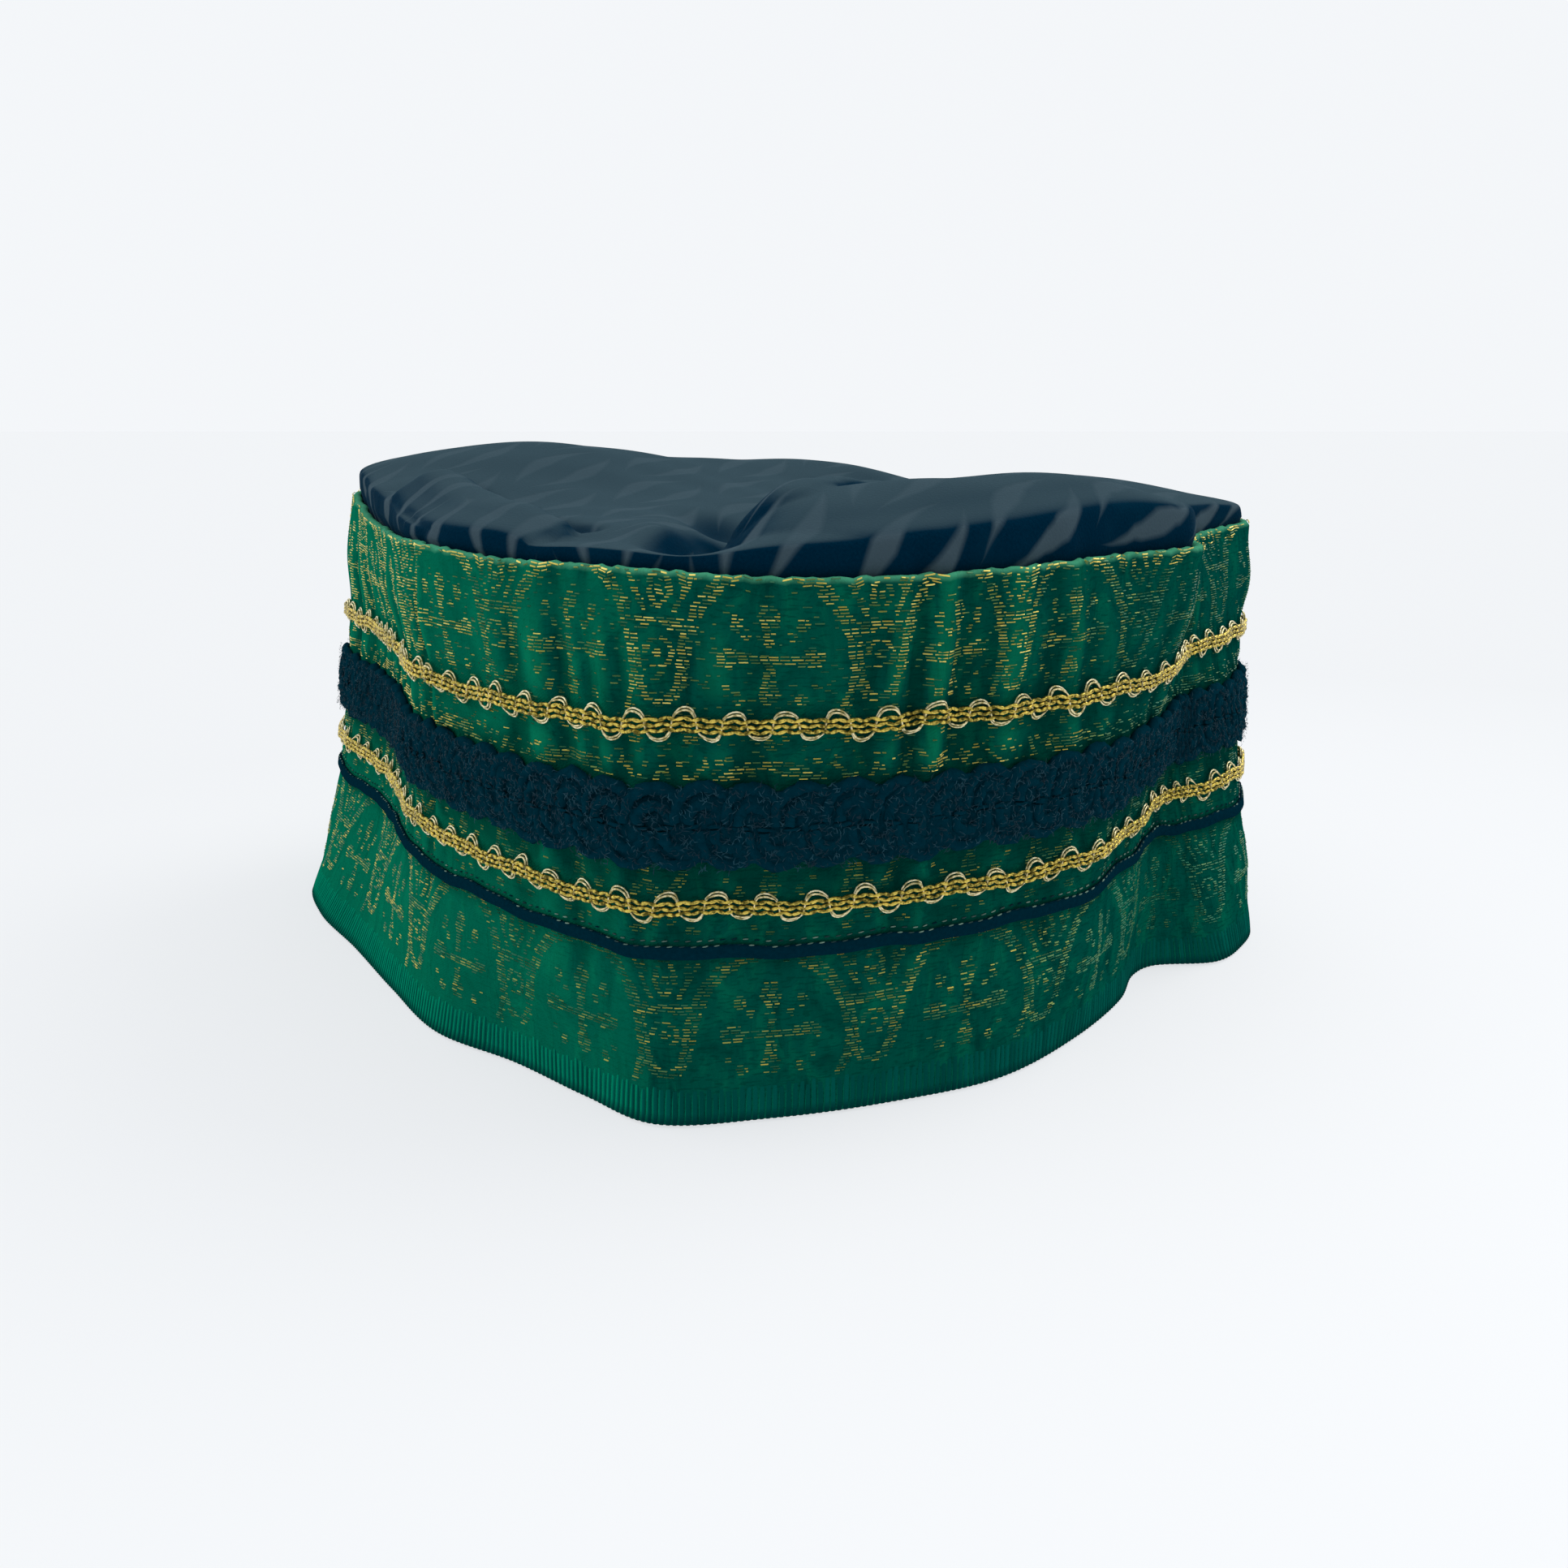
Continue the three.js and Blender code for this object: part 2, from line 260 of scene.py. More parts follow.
def sewn_round(flat, fraying=0.1):
    """Metres on the cap for flat places: mm along the band, up it, and out of its face."""
    column = flat[:, 0] / ROUND * COLUMNS
    height = flat[:, 1]
    point = smooth_band(column, height)
    along = smooth_band(column + 1, height) - smooth_band(column - 1, height)
    normal = np.stack([along[:, 1], -along[:, 0]], axis=1)
    normal /= np.linalg.norm(normal, axis=1)[:, None]
    point[:, :2] += normal * (flat[:, 2] + relief(point, column, height))[:, None]
    turn = column / COLUMNS * 2 * np.pi
    frayed = sum(share * np.sin(turn * count + phase) for count, phase, share in FRAYS)
    point[:, 2] += fraying * frayed * smoothstep(height, FRAYED_FOOT, BAND_HEIGHT)
    return point * 0.001


def places(piece):
    flat = np.empty(len(piece.data.vertices) * 3)
    piece.data.vertices.foreach_get("co", flat)
    return flat.reshape(-1, 3)


def put(piece, points):
    piece.data.vertices.foreach_set("co", np.ascontiguousarray(points).ravel())
    piece.data.update()


def start(name):
    """The object that an operator has just made, under its own name."""
    piece = bpy.context.active_object
    piece.name = name
    piece.data.name = name
    return piece


def only(*pieces):
    bpy.ops.object.select_all(action="DESELECT")
    for piece in pieces:
        piece.select_set(True)
    bpy.context.view_layer.objects.active = pieces[0]


def close_up(piece):
    """Merge what meets, and turn every face outwards."""
    only(piece)
    bpy.ops.object.mode_set(mode="EDIT")
    bpy.ops.mesh.select_all(action="SELECT")
    bpy.ops.mesh.remove_doubles(threshold=0.00001)
    bpy.ops.mesh.normals_make_consistent(inside=False)
    bpy.ops.object.mode_set(mode="OBJECT")
    bpy.ops.object.shade_smooth()


def mark(piece, name, values):
    """Write a number on every vertex, for the material to read."""
    numbers = np.zeros(len(piece.data.vertices)) + values
    piece.data.attributes.new(name, "FLOAT", "POINT").data.foreach_set("value", numbers)


def lay_cloth_map(piece, spread):
    """Give every vertex its place on the flat cloth, in metres."""
    loops = np.empty(len(piece.data.loops), dtype=int)
    piece.data.loops.foreach_get("vertex_index", loops)
    piece.data.uv_layers[0].name = "cloth"
    piece.data.uv_layers["cloth"].data.foreach_set("uv", spread[loops].ravel())


# Height and distance out round the band's wall: up the outside, over the rim, and down the inside.
outside = [(level, 0.0) for level in np.linspace(WALL_FOOT, OUTSIDE_TOP, 75)]
turned = [
    (TURNED_MIDDLE + math.sin(a), -WALL / 2 * (1 - math.cos(a)))
    for a in (math.radians(step) for step in range(20, 180, 20))
]
inside = [(level, -WALL) for level in np.linspace(INSIDE_TOP, WALL_FOOT, 13)]
profile = np.array([*outside, *turned, *inside, (WALL_BOTTOM, -WALL / 2), outside[0]])

bpy.ops.object.select_all(action="DESELECT")
bpy.ops.mesh.primitive_grid_add(x_subdivisions=BAND_STEPS, y_subdivisions=len(profile) - 1, size=1)
band = start("brocade_band")
grid = places(band)
step = (grid[:, 1] + 0.5) * (len(profile) - 1)
height, out = (np.interp(step, np.arange(len(profile)), measure) for measure in profile.T)
flat = np.stack([(grid[:, 0] + 0.5) * ROUND, height, out], axis=1)
put(band, sewn_round(flat))
lay_cloth_map(band, flat[:, :2] * 0.001)
# Painted light and shade on the gathers: 0 in a valley of the cloth or beside a trim, 1 on a crest.
waves = gathers(flat[:, 0] / ROUND * COLUMNS, flat[:, 1])
mark(band, "painted_fold_light", np.clip(0.45 + 0.8 * waves - near_heights(flat[:, 1], TRIM_SHADE), 0, 1))
close_up(band)


def linear(hex_colour):
    """A linear colour from an sRGB hex value."""
    parts = [((hex_colour >> shift) & 255) / 255 for shift in (16, 8, 0)]
    return [c / 12.92 if c <= 0.04045 else ((c + 0.055) / 1.055) ** 2.4 for c in parts] + [1]


def connect(made, inputs):
    """Set a node's inputs, each to a value, to a socket or to the first output of a node."""
    for name, value in inputs.items():
        if isinstance(value, bpy.types.Node):
            value = value.outputs[0]
        if isinstance(value, bpy.types.NodeSocket):
            made.id_data.links.new(value, made.inputs[name])
        else:
            made.inputs[name].default_value = value


def node(material, kind, inputs=(), **settings):
    """Add a node: its settings, then its inputs."""
    made = material.node_tree.nodes.new("ShaderNode" + kind)
    for name, value in settings.items():
        setattr(made, name, value)
    connect(made, dict(inputs))
    return made


def new_material(name):
    material = bpy.data.materials.new(name)
    material.use_nodes = True
    return material


def finish_material(material, inputs):
    connect(material.node_tree.nodes["Principled BSDF"], inputs)


# Polyester satin, woven: deep green with a soft shine painted in as light and shade, warp threads up the
# band and a faint twill.
# Threads are 0.4 mm apart here, about twice as coarse as real ones, so that they show.
satin = new_material("woven_satin_green")
cloth = node(satin, "UVMap", uv_map="cloth")
in_mm = node(satin, "Mapping", {"Vector": cloth, "Scale": (1000, 1000, 1)})
up_band = node(satin, "SeparateXYZ", {"Vector": in_mm}).outputs["Y"]
threads = node(satin, "Mapping", {"Vector": in_mm, "Scale": (2.5, 0.35, 1)})
slubs = node(satin, "TexNoise", {"Vector": threads, "Scale": 1.0, "Detail": 3.0})
twill_way = node(satin, "Mapping", {"Vector": in_mm, "Rotation": (0, 0, math.radians(58))})
twill = node(satin, "TexWave", {"Vector": twill_way, "Scale": 0.75, "Distortion": 1.5}).outputs["Fac"]
patches = node(satin, "TexNoise", {"Vector": in_mm, "Scale": 0.045, "Detail": 2.0})
crumpled = node(satin, "Mapping", {"Vector": in_mm, "Rotation": (0, 0, 0.5), "Scale": (0.2, 0.09, 1)})
crumples = node(satin, "TexNoise", {"Vector": crumpled, "Scale": 1.0, "Detail": 6.0, "Distortion": 1.2})
weft_way = node(satin, "Mapping", {"Vector": in_mm, "Scale": (0.5, 2.1, 1)})
weft = node(satin, "TexNoise", {"Vector": weft_way, "Scale": 1.0, "Detail": 1.0})
painted_folds = node(satin, "Attribute", attribute_name="painted_fold_light").outputs["Fac"]
cloth_place = node(satin, "TexCoord")
facing = node(satin, "SeparateXYZ", {"Vector": cloth_place.outputs["Normal"]}).outputs["X"]
# Painted shade where the satin faces right, strongest high on the band.
right_shade_most = node(
    satin,
    "MapRange",
    {"Value": up_band, "From Min": 30.0, "From Max": 60.0, "To Min": 0.05, "To Max": 0.45},
)
ground = node(satin, "MixRGB", {"Fac": slubs, "Color1": linear(0x00463A), "Color2": linear(0x005845)})
toned = node(satin, "MixRGB", {"Fac": patches, "Color1": ground, "Color2": linear(0x004A42)})
# What a tone follows, where it starts and where it is full, how much of it there is then, the tone.
# Painted light and shade: highlights on raised crumples and crests of the gathers, shade in the
# hollows, in the valleys and beside the trims, light where the satin faces left and shade where it
# faces right. Along the rim the paler tone is partly wear and partly a painted highlight on the fold.
for follows, begin, full, most, tone in (
    (crumples, 0.5, 0.72, 0.6, 0x046C50),  # raised crumples
    (crumples, 0.46, 0.28, 0.8, 0x003630),  # hollows between them
    (weft, 0.54, 0.62, 0.45, 0x00352C),  # weft, in fine dark rows between the warp threads
    (painted_folds, 0.5, 1.0, 0.5, 0x0C7E5A),  # crests of the gathers
    (facing, -0.3, -0.9, 0.55, 0x088560),  # silky where it faces left
    (facing, 0.35, 0.85, right_shade_most, 0x003E3A),  # deep where it faces right
    (painted_folds, 0.42, 0.0, 0.5, 0x002420),  # valleys of the gathers
    (up_band, 87.1, 87.9, 0.5, 0x5FBF92),  # worn rim
):
    share = node(satin, "MapRange", {"Value": follows, "From Min": begin, "From Max": full, "To Max": most})
    toned = node(satin, "MixRGB", {"Fac": share, "Color1": toned, "Color2": linear(tone)})
weave = node(satin, "MixRGB", {"Fac": 0.5, "Color1": slubs, "Color2": twill})
crushed = node(satin, "Bump", {"Height": crumples, "Strength": 0.7, "Distance": 0.0025})
raised = node(satin, "Bump", {"Height": weave, "Strength": 0.3, "Distance": 0.0002, "Normal": crushed})
finish_material(satin, {"Base Color": toned, "Roughness": 0.5, "IOR": 1.0, "Normal": raised})
band.data.materials.append(satin)
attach(band, "root")
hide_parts("side_band")

# Gold floats of the brocade
# Flat metal thread woven into the satin, showing as short floats in rows. They draw arches, each
# round a cross, with a ring between two arches and a small palmette over it.

REPEATS = 18
CELL = ROUND / REPEATS
CROSS_COLUMN = 60.5
FIRST_CROSS = 16.0
ROW_OF_CROSSES = 30.0
FLOAT_PITCH = 0.5
FLOAT_HEIGHT = 0.25
FLOAT_RISE = 0.16
FLOAT_LENGTH = 1.5
SAMPLE = 0.2
STRAY_FOOT = 57.0
STRAY_GLINT = 0.25
STRAY_FROM = 0.36
STRAY_TO = 0.64
MISSING = 0.09
SHORTEST = 0.35
RIM_GLINTS = 85.5
# Where the light is caught: the middle column and its spread, and the heights it grows between.
LIT_COLUMN = 62
LIT_SPREAD = 9
LIT_HEIGHTS = (40, 66)
# Columns that the crowded gathers take up above the black braid: how many, between which columns
# they are taken up and given back, and between which heights.
TAKEN_UP = 3.25
TAKEN_FROM = (63.5, 71.0)
GIVEN_BACK = (84, 116)
TAKEN_HEIGHTS = (50, 62)

# Lines of the figure in mm from the middle of a cross: half its width, then its places.
ARCH = (1.1, [(0, 13.2), (4, 12.8), (7.6, 10.9), (10.6, 7.4), (12.5, 3), (13.2, -1.2)])
HOOK = (0.85, [(13.2, -1.2), (13.8, -4), (15.0, -6), (16.72, -6.7)])
FOOT = (0.75, [(13.1, -1.2), (12.6, -5), (11.2, -8.6)])
BAR = (0.9, [(13.4, 4.6), (16.72, 4.9)])
DROPLET = (0.42, [(16.72, 6.9), (15.2, 8.8), (15.5, 10.9), (16.72, 13.4)])
RAY = (0.45, [(14.4, 6.6), (12.8, 9.6), (11.2, 12.6)])
CURL = (0.4, [(11.2, 12.6), (9.9, 13.4), (10.0, 14.6)])
# Filled spots: place, then half their width and half their height.
SPOTS = [
    (5.0, 5.4, 0.95, 1.5),
    (3.3, 3.5, 0.7, 0.75),
    (4.8, -6.3, 0.9, 1.0),
    (6.8, -4.3, 0.6, 0.7),
    (16.72, 0.4, 0.65, 0.65),
    (16.72, 9.4, 0.6, 0.9),
    (13.2, 10.9, 0.7, 1.1),
    (14.2, 13.6, 0.55, 0.6),
    (16.72, 15.0, 0.7, 0.6),
    (0.0, -13.4, 0.8, 1.1),
    (2.6, -12.2, 0.7, 0.6),
    (7.6, 14.2, 0.8, 0.7),
    (12.4, -12.6, 1.3, 0.7),
    (15.6, -10.8, 0.8, 1.2),
]
# Heights hidden under the sewn trims.
COVERED = [(0, 7.0), (28.4, 32.2), (36.4, 38.6), (43.4, 57.2), (64.6, 66.9)]


def near_line(x, z, line):
    half, places_on_line = line
    nearest = np.full(x.shape, 99.0)
    for (x0, z0), (x1, z1) in zip(places_on_line, places_on_line[1:]):
        long = (x1 - x0) ** 2 + (z1 - z0) ** 2
        t = np.clip(((x - x0) * (x1 - x0) + (z - z0) * (z1 - z0)) / long, 0, 1)
        nearest = np.minimum(nearest, np.hypot(x - x0 - t * (x1 - x0), z - z0 - t * (z1 - z0)))
    return nearest < half


def in_figure(along, height):
    """Whether gold shows at places of the band, in mm along it and up it."""
    column = along / ROUND * COLUMNS
    taken = TAKEN_UP * smoothstep(column, *TAKEN_FROM) * (1 - smoothstep(column, *GIVEN_BACK))
    column = column + taken * smoothstep(height, *TAKEN_HEIGHTS)
    x = (((column - CROSS_COLUMN) / COLUMNS * REPEATS + 0.5) % 1 - 0.5) * CELL
    z = (height - FIRST_CROSS + ROW_OF_CROSSES / 2) % ROW_OF_CROSSES - ROW_OF_CROSSES / 2
    side = np.abs(x)
    # The cross swells towards its ends, and the ring is open on one side.
    upright = side < 0.75 + 0.85 * np.exp(-(((np.abs(z - 0.4) - 5.9) / 1.5) ** 2))
    crossbar = np.abs(z) < 0.6 + 1.0 * np.exp(-(((side - 6.0) / 2.2) ** 2))
    shows = (upright & (z > -7.4) & (z < 8.4)) | (crossbar & (side < 8.1))
    for line in (ARCH, HOOK, BAR, DROPLET, RAY, CURL):
        shows |= near_line(side, z, line)
    shows |= near_line(x, z, FOOT)
    ring = np.hypot(CELL / 2 - side, z - 0.4)
    shows |= (np.abs(ring - 2.0) < 0.42) & ~((x > 0) & (z < 0.2) & (z > -1.2))
    for middle_x, middle_z, wide, tall in SPOTS:
        shows |= ((side - middle_x) / wide) ** 2 + ((z - middle_z) / tall) ** 2 < 1
    return shows


chance = random.Random(11)
sampled = np.arange(0, ROUND, SAMPLE)
floats = []
height = 7.4
while height < 88.0:
    if not any(low < height < high for low, high in COVERED):
        shown = in_figure(sampled, np.full(sampled.shape, height))
        edges = np.flatnonzero(np.diff(np.concatenate([[0], shown.astype(int), [0]])))
        for begin, end in zip(edges[::2] * SAMPLE, edges[1::2] * SAMPLE):
            place = begin + chance.uniform(-0.25, 0.2)
            end = end + chance.uniform(-0.2, 0.25)
            first = FLOAT_LENGTH * chance.uniform(0.5, 1.0)
            while end - place > SHORTEST:
                finish = min(end, place + first)
                if chance.random() > MISSING:
                    floats.append((place, finish, height + chance.uniform(-0.07, 0.07), 1.0))
                place = finish + chance.uniform(0.14, 0.32)
                first = FLOAT_LENGTH * chance.uniform(0.75, 1.15)
        # A few stray floats of the gold weft lie between the figures, high on the front.
        stray = ROUND * STRAY_FROM + chance.uniform(0, 4)
        while height > STRAY_FOOT and stray < ROUND * STRAY_TO:
            finish = stray + chance.uniform(0.4, 1.5)
            floats.append((stray, finish, height + chance.uniform(-0.15, 0.15), STRAY_GLINT))
            stray += 1.6 + chance.expovariate(0.1)
    height += FLOAT_PITCH


def edit_only(piece, kind, chosen):
    """Go into edit mode with the chosen vertices, edges or faces selected."""
    bpy.ops.object.mode_set(mode="EDIT")
    bpy.ops.mesh.select_mode(type=kind)
    bpy.ops.mesh.select_all(action="DESELECT")
    bpy.ops.object.mode_set(mode="OBJECT")
    parts = {"VERT": piece.data.vertices, "EDGE": piece.data.edges, "FACE": piece.data.polygons}
    for part in parts[kind]:
        part.select = chosen(part)
    bpy.ops.object.mode_set(mode="EDIT")


# One float is a cube drawn in to a ridge. Its corners are then laid at every place of the figure.
bpy.ops.object.select_all(action="DESELECT")
bpy.ops.mesh.primitive_cube_add(size=2)
one = start("one_float")
edit_only(one, "VERT", lambda vertex: vertex.co.z > 0)
bpy.ops.transform.resize(value=(0.8, 0, 1), center_override=(0, 0, 1))
bpy.ops.mesh.select_all(action="SELECT")
bpy.ops.mesh.remove_doubles(threshold=0.001)
bpy.ops.object.mode_set(mode="OBJECT")
corners = places(one)
faces = [list(polygon.vertices) for polygon in one.data.polygons]
bpy.data.objects.remove(one)

spans = np.array(floats)
count = len(spans)
lean = np.array([chance.uniform(-0.5, 0.5) for _ in range(count)])
rise = np.array([chance.uniform(0.6, 1.25) for _ in range(count)])
x = corners[None, :, 0] * (spans[:, 1] - spans[:, 0])[:, None] / 2 + spans[:, :2].mean(axis=1)[:, None]
top = corners[None, :, 2] > 0
z = corners[None, :, 1] * FLOAT_HEIGHT / 2 + spans[:, 2][:, None] + top * lean[:, None] * FLOAT_HEIGHT * 0.6
out = np.where(top, FLOAT_RISE * rise[:, None], -0.05)
laid = np.stack([x, z, out], axis=2).reshape(-1, 3)
gold_mesh = bpy.data.meshes.new("gold_floats")
gold_mesh.from_pydata(
    sewn_round(laid).tolist(),
    [],
    [[corner + len(corners) * number for corner in face] for number in range(count) for face in faces],
)
gold_floats = bpy.data.objects.new("gold_floats", gold_mesh)
bpy.context.collection.objects.link(gold_floats)
luck = np.array([chance.random() for _ in range(count)])
column_of_float = spans[:, 0] / ROUND * COLUMNS
crests = np.clip(gathers(column_of_float, spans[:, 2]) - 0.1, 0, 1)
# Painted glints: the light is painted as caught best high on the front and along the rim, and least low
# down and at the sides; crests of the gathers are painted brighter.
from_cross = 0.8 + 0.2 * np.cos((column_of_float - 58) * np.pi / 4)
at_front = np.exp(-(((column_of_float - LIT_COLUMN) / LIT_SPREAD) ** 4)) * from_cross
at_side = np.interp(column_of_float, [44, 48, 51, 70, 74], [1.0, 0.85, 0.5, 0.5, 0.2])
caught = (0.55 + 0.45 * smoothstep(spans[:, 2], *LIT_HEIGHTS)) * (at_side + (1 - at_side) * at_front)
caught = np.where(spans[:, 2] > RIM_GLINTS, 0.95, caught)
glint = 0.05 + 0.95 * luck ** (3.2 - 2.2 * caught)
glint = np.clip((glint + 0.4 * crests) * caught, 0, 1) * spans[:, 3]
mark(gold_floats, "glint", np.repeat(glint, len(corners)))

# Flat lurex thread: metallised film, yellow gold. Most floats lie dull, olive where green shows
# through them, and a few catch the light as glints painted into the colour.
lurex = new_material("lurex_thread_gold")
glints = node(lurex, "Attribute", attribute_name="glint").outputs["Fac"]
tone = node(lurex, "ValToRGB", {"Fac": glints})
tone.color_ramp.elements[0].color = linear(0x12604A)
tone.color_ramp.elements[1].color = linear(0xFFE980)
tone.color_ramp.elements.new(0.22).color = linear(0x78904E)
tone.color_ramp.elements.new(0.5).color = linear(0xCEBA54)
finish_material(
    lurex, {"Base Color": tone, "Metallic": 0.35, "Roughness": 0.4, "Specular IOR Level": 0.1}
)
gold_mesh.materials.append(lurex)
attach(gold_floats, "root")

# Overcast hem
# The raw lower edge of the band, sewn over with close stitches in bright green thread. Each stitch
# goes round the edge from the outside to the inside.

STITCHES = 560
STITCH_PITCH = ROUND / STITCHES
STITCH_RADIUS = 0.56
STITCH_TALL = 7.0
PRESSED = 0.45
# Height and distance out along one stitch.
STITCH_PATH = [
    (6.9, -0.8),
    (6.1, -0.45),
    (4.6, -0.3),
    (2.4, -0.26),
    (0.85, -0.3),
    (0.62, -1.1),
    (0.8, -2.1),
    (2.6, -2.3),
    (4.6, -2.1),
]


def swept(name, path, radius, sides):
    """A round thread through places of the flat layout, as a mesh."""
    curve = bpy.data.curves.new(name, "CURVE")
    curve.dimensions = "3D"
    spline = curve.splines.new("POLY")
    spline.points.add(len(path) - 1)
    for point, place in zip(spline.points, path):
        point.co = (*place, 1)
    curve.bevel_depth = radius
    curve.bevel_resolution = (sides - 4) // 2
    curve.use_fill_caps = True
    made = bpy.data.objects.new(name, curve)
    bpy.context.collection.objects.link(made)
    only(made)
    bpy.ops.object.convert(target="MESH")
    return start(name)


def repeated(piece, count, pitch):
    """Copies of one repeat side by side along the band."""
    only(piece)
    array = piece.modifiers.new("along", "ARRAY")
    array.count = count
    array.use_relative_offset = False
    array.use_constant_offset = True
    array.constant_offset_displace = (pitch, 0, 0)
    bpy.ops.object.modifier_apply(modifier="along")


def smooth(piece):
    only(piece)
    bpy.ops.object.shade_smooth()


hem = swept("hem_stitches", [(0, z, out) for z, out in STITCH_PATH], STITCH_RADIUS, 6)
repeated(hem, STITCHES, STITCH_PITCH)
flat = places(hem)
number = np.round(flat[:, 0] / STITCH_PITCH).astype(int) % STITCHES
taller = np.array([chance.gauss(0, 0.42) for _ in range(STITCHES)])[number]
slant = np.array([chance.gauss(0.1, 0.12) for _ in range(STITCHES)])[number]
fuller = np.array([chance.gauss(0, 0.04) for _ in range(STITCHES)])[number]
share = np.clip(flat[:, 1] / STITCH_TALL, 0, 1)
outer = flat[:, 2] > -1
flat[:, 0] += slant * share * outer
flat[:, 1] += taller * share**4 * outer
flat[:, 2] += fuller * share
# On the outside the stitches are pressed flat.
flat[:, 2] = np.where(outer, -0.1 + (flat[:, 2] + 0.3) * PRESSED, flat[:, 2])
put(hem, sewn_round(flat))
smooth(hem)
mark(hem, "stitch", np.array([chance.random() for _ in range(STITCHES)])[number])
mark(hem, "height", flat[:, 1])

# Bulked polyester overlock thread: soft and slightly fluffy, bright green, with painted shade at the foot.
overlock = new_material("overlock_thread_green")
each = node(overlock, "Attribute", attribute_name="stitch").outputs["Fac"]
up = node(overlock, "Attribute", attribute_name="height").outputs["Fac"]
coords = node(overlock, "TexCoord")
fluff = node(overlock, "TexNoise", {"Vector": coords.outputs["Object"], "Scale": 2200.0, "Detail": 2.0})
facing = node(overlock, "SeparateXYZ", {"Vector": coords.outputs["Normal"]}).outputs["X"]
thread = node(overlock, "MixRGB", {"Fac": each, "Color1": linear(0x00443E), "Color2": linear(0x00554C)})
# Painted light where it faces left, and painted shade at the foot by the floor: the same columns as for the
# satin.
for follows, begin, full, most, tone in (
    (facing, -0.3, -0.8, 0.8, 0x008A66),
    (up, 2.6, 1.0, 0.85, 0x012A2E),
):
    share = node(
        overlock, "MapRange", {"Value": follows, "From Min": begin, "From Max": full, "To Max": most}
    )
    thread = node(overlock, "MixRGB", {"Fac": share, "Color1": thread, "Color2": linear(tone)})
fluffy = node(overlock, "Bump", {"Height": fluff, "Strength": 0.5, "Distance": 0.0002})
finish_material(
    overlock,
    {
        "Base Color": thread,
        "Roughness": 0.75,
        "IOR": 1.0,
        "Sheen Weight": 0.05,
        "Sheen Roughness": 0.5,
        "Sheen Tint": linear(0x3FD89A),
        "Normal": fluffy,
    },
)
hem.data.materials.append(overlock)
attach(hem, "root")
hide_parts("hem")

# Black cord
# A thin flat woven cord, sewn on with two rows of small stitches along its upper edge.

CORD_REPEATS = 330
CORD_PITCH = ROUND / CORD_REPEATS
CORD_MIDDLE = 29.9
CORD_HALF = 1.1
CORD_BEVEL = 0.36
DASH_SIZE = (0.16, 0.11, 0.5)
# Heights of the two rows of stitches over the cord's middle.
STITCH_ROWS = (1.8, 1.1)


def joined(name, pieces):
    only(*pieces)
    bpy.ops.object.join()
    return start(name)


def strip(name, pitch, middle_height, half, level, thick):
    """One repeat of a flat tape: half its width and half its thickness, round its level."""
    bpy.ops.object.select_all(action="DESELECT")
    bpy.ops.mesh.primitive_cube_add(
        size=2, location=(pitch / 2, middle_height, level), scale=(pitch / 2, half, thick)
    )
    made = start(name)
    bpy.ops.object.transform_apply()
    return made


def bead(name, rings, place, tilt, half_sizes):
    """A small round stitch or link, laid down along the band and tilted by some degrees."""
    bpy.ops.mesh.primitive_uv_sphere_add(
        segments=6,
        ring_count=rings,
        location=place,
        rotation=(0, math.radians(90), math.radians(tilt)),
        scale=half_sizes,
    )
    made = start(name)
    bpy.ops.object.transform_apply()
    return made


def runs_along(edge):
    a, b = (tape.data.vertices[index].co for index in edge.vertices)
    return abs(a.x - b.x) > 0.1


tape = strip("cord_tape", CORD_PITCH, CORD_MIDDLE, CORD_HALF, 0.5, 0.4)
edit_only(tape, "FACE", lambda face: abs(face.normal.x) > 0.9)
bpy.ops.mesh.delete(type="ONLY_FACE")
bpy.ops.object.mode_set(mode="OBJECT")
edit_only(tape, "EDGE", runs_along)
bpy.ops.mesh.bevel(offset=CORD_BEVEL, segments=2, affect="EDGES")
bpy.ops.object.mode_set(mode="OBJECT")
mark(tape, "stitch", 0.0)
parts = [tape]
for rank, over in enumerate(STITCH_ROWS):
    place = (CORD_PITCH * (0.3 + 0.5 * rank), CORD_MIDDLE + over, 0.15 + 0.55 * rank)
    parts.append(bead("cord_dash", 4, place, 8, DASH_SIZE))
    mark(parts[-1], "stitch", 1.0)
cord = joined("black_cord_sewn", parts)
repeated(cord, CORD_REPEATS, CORD_PITCH)
flat = places(cord)
turn = flat[:, 0] / ROUND * 2 * np.pi
flat[:, 1] += 0.25 * np.sin(turn * 23) + 0.15 * np.sin(turn * 51)
put(cord, sewn_round(flat))
# Some stitches are worn darker than others.
worn = np.array([chance.random() ** 2 for _ in range(CORD_REPEATS + 1)])
repeat = (flat[:, 0] / CORD_PITCH).astype(int).clip(0, CORD_REPEATS)
stitched = np.empty(len(flat))
tint = cord.data.attributes["stitch"].data
tint.foreach_get("value", stitched)
tint.foreach_set("value", stitched * worn[repeat])
close_up(cord)

# Twisted cotton, dyed black with a blue cast, matt. Its stitches are slightly paler from wear.
cotton = new_material("woven_cotton_black")
sewn = node(cotton, "Attribute", attribute_name="stitch").outputs["Fac"]
coords = node(cotton, "TexCoord")
plait = node(cotton, "TexNoise", {"Vector": coords.outputs["Object"], "Scale": 1500.0, "Detail": 2.0})
yarn = node(cotton, "MixRGB", {"Fac": plait, "Color1": linear(0x011E2A), "Color2": linear(0x022C3A)})
faded = node(cotton, "MixRGB", {"Fac": sewn, "Color1": yarn, "Color2": linear(0x86A494)})
ribbed = node(cotton, "Bump", {"Height": plait, "Strength": 0.6, "Distance": 0.0002})
finish_material(cotton, {"Base Color": faded, "Roughness": 0.9, "IOR": 1.0, "Normal": ribbed})
cord.data.materials.append(cotton)
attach(cord, "root")
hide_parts("black_cord")

# Gold gimp braids
# Three chained strands of gold thread side by side, with a doubled round wire that swings out of
# them in arcs, above and below by turns. Sewn flat onto the band through the strands.

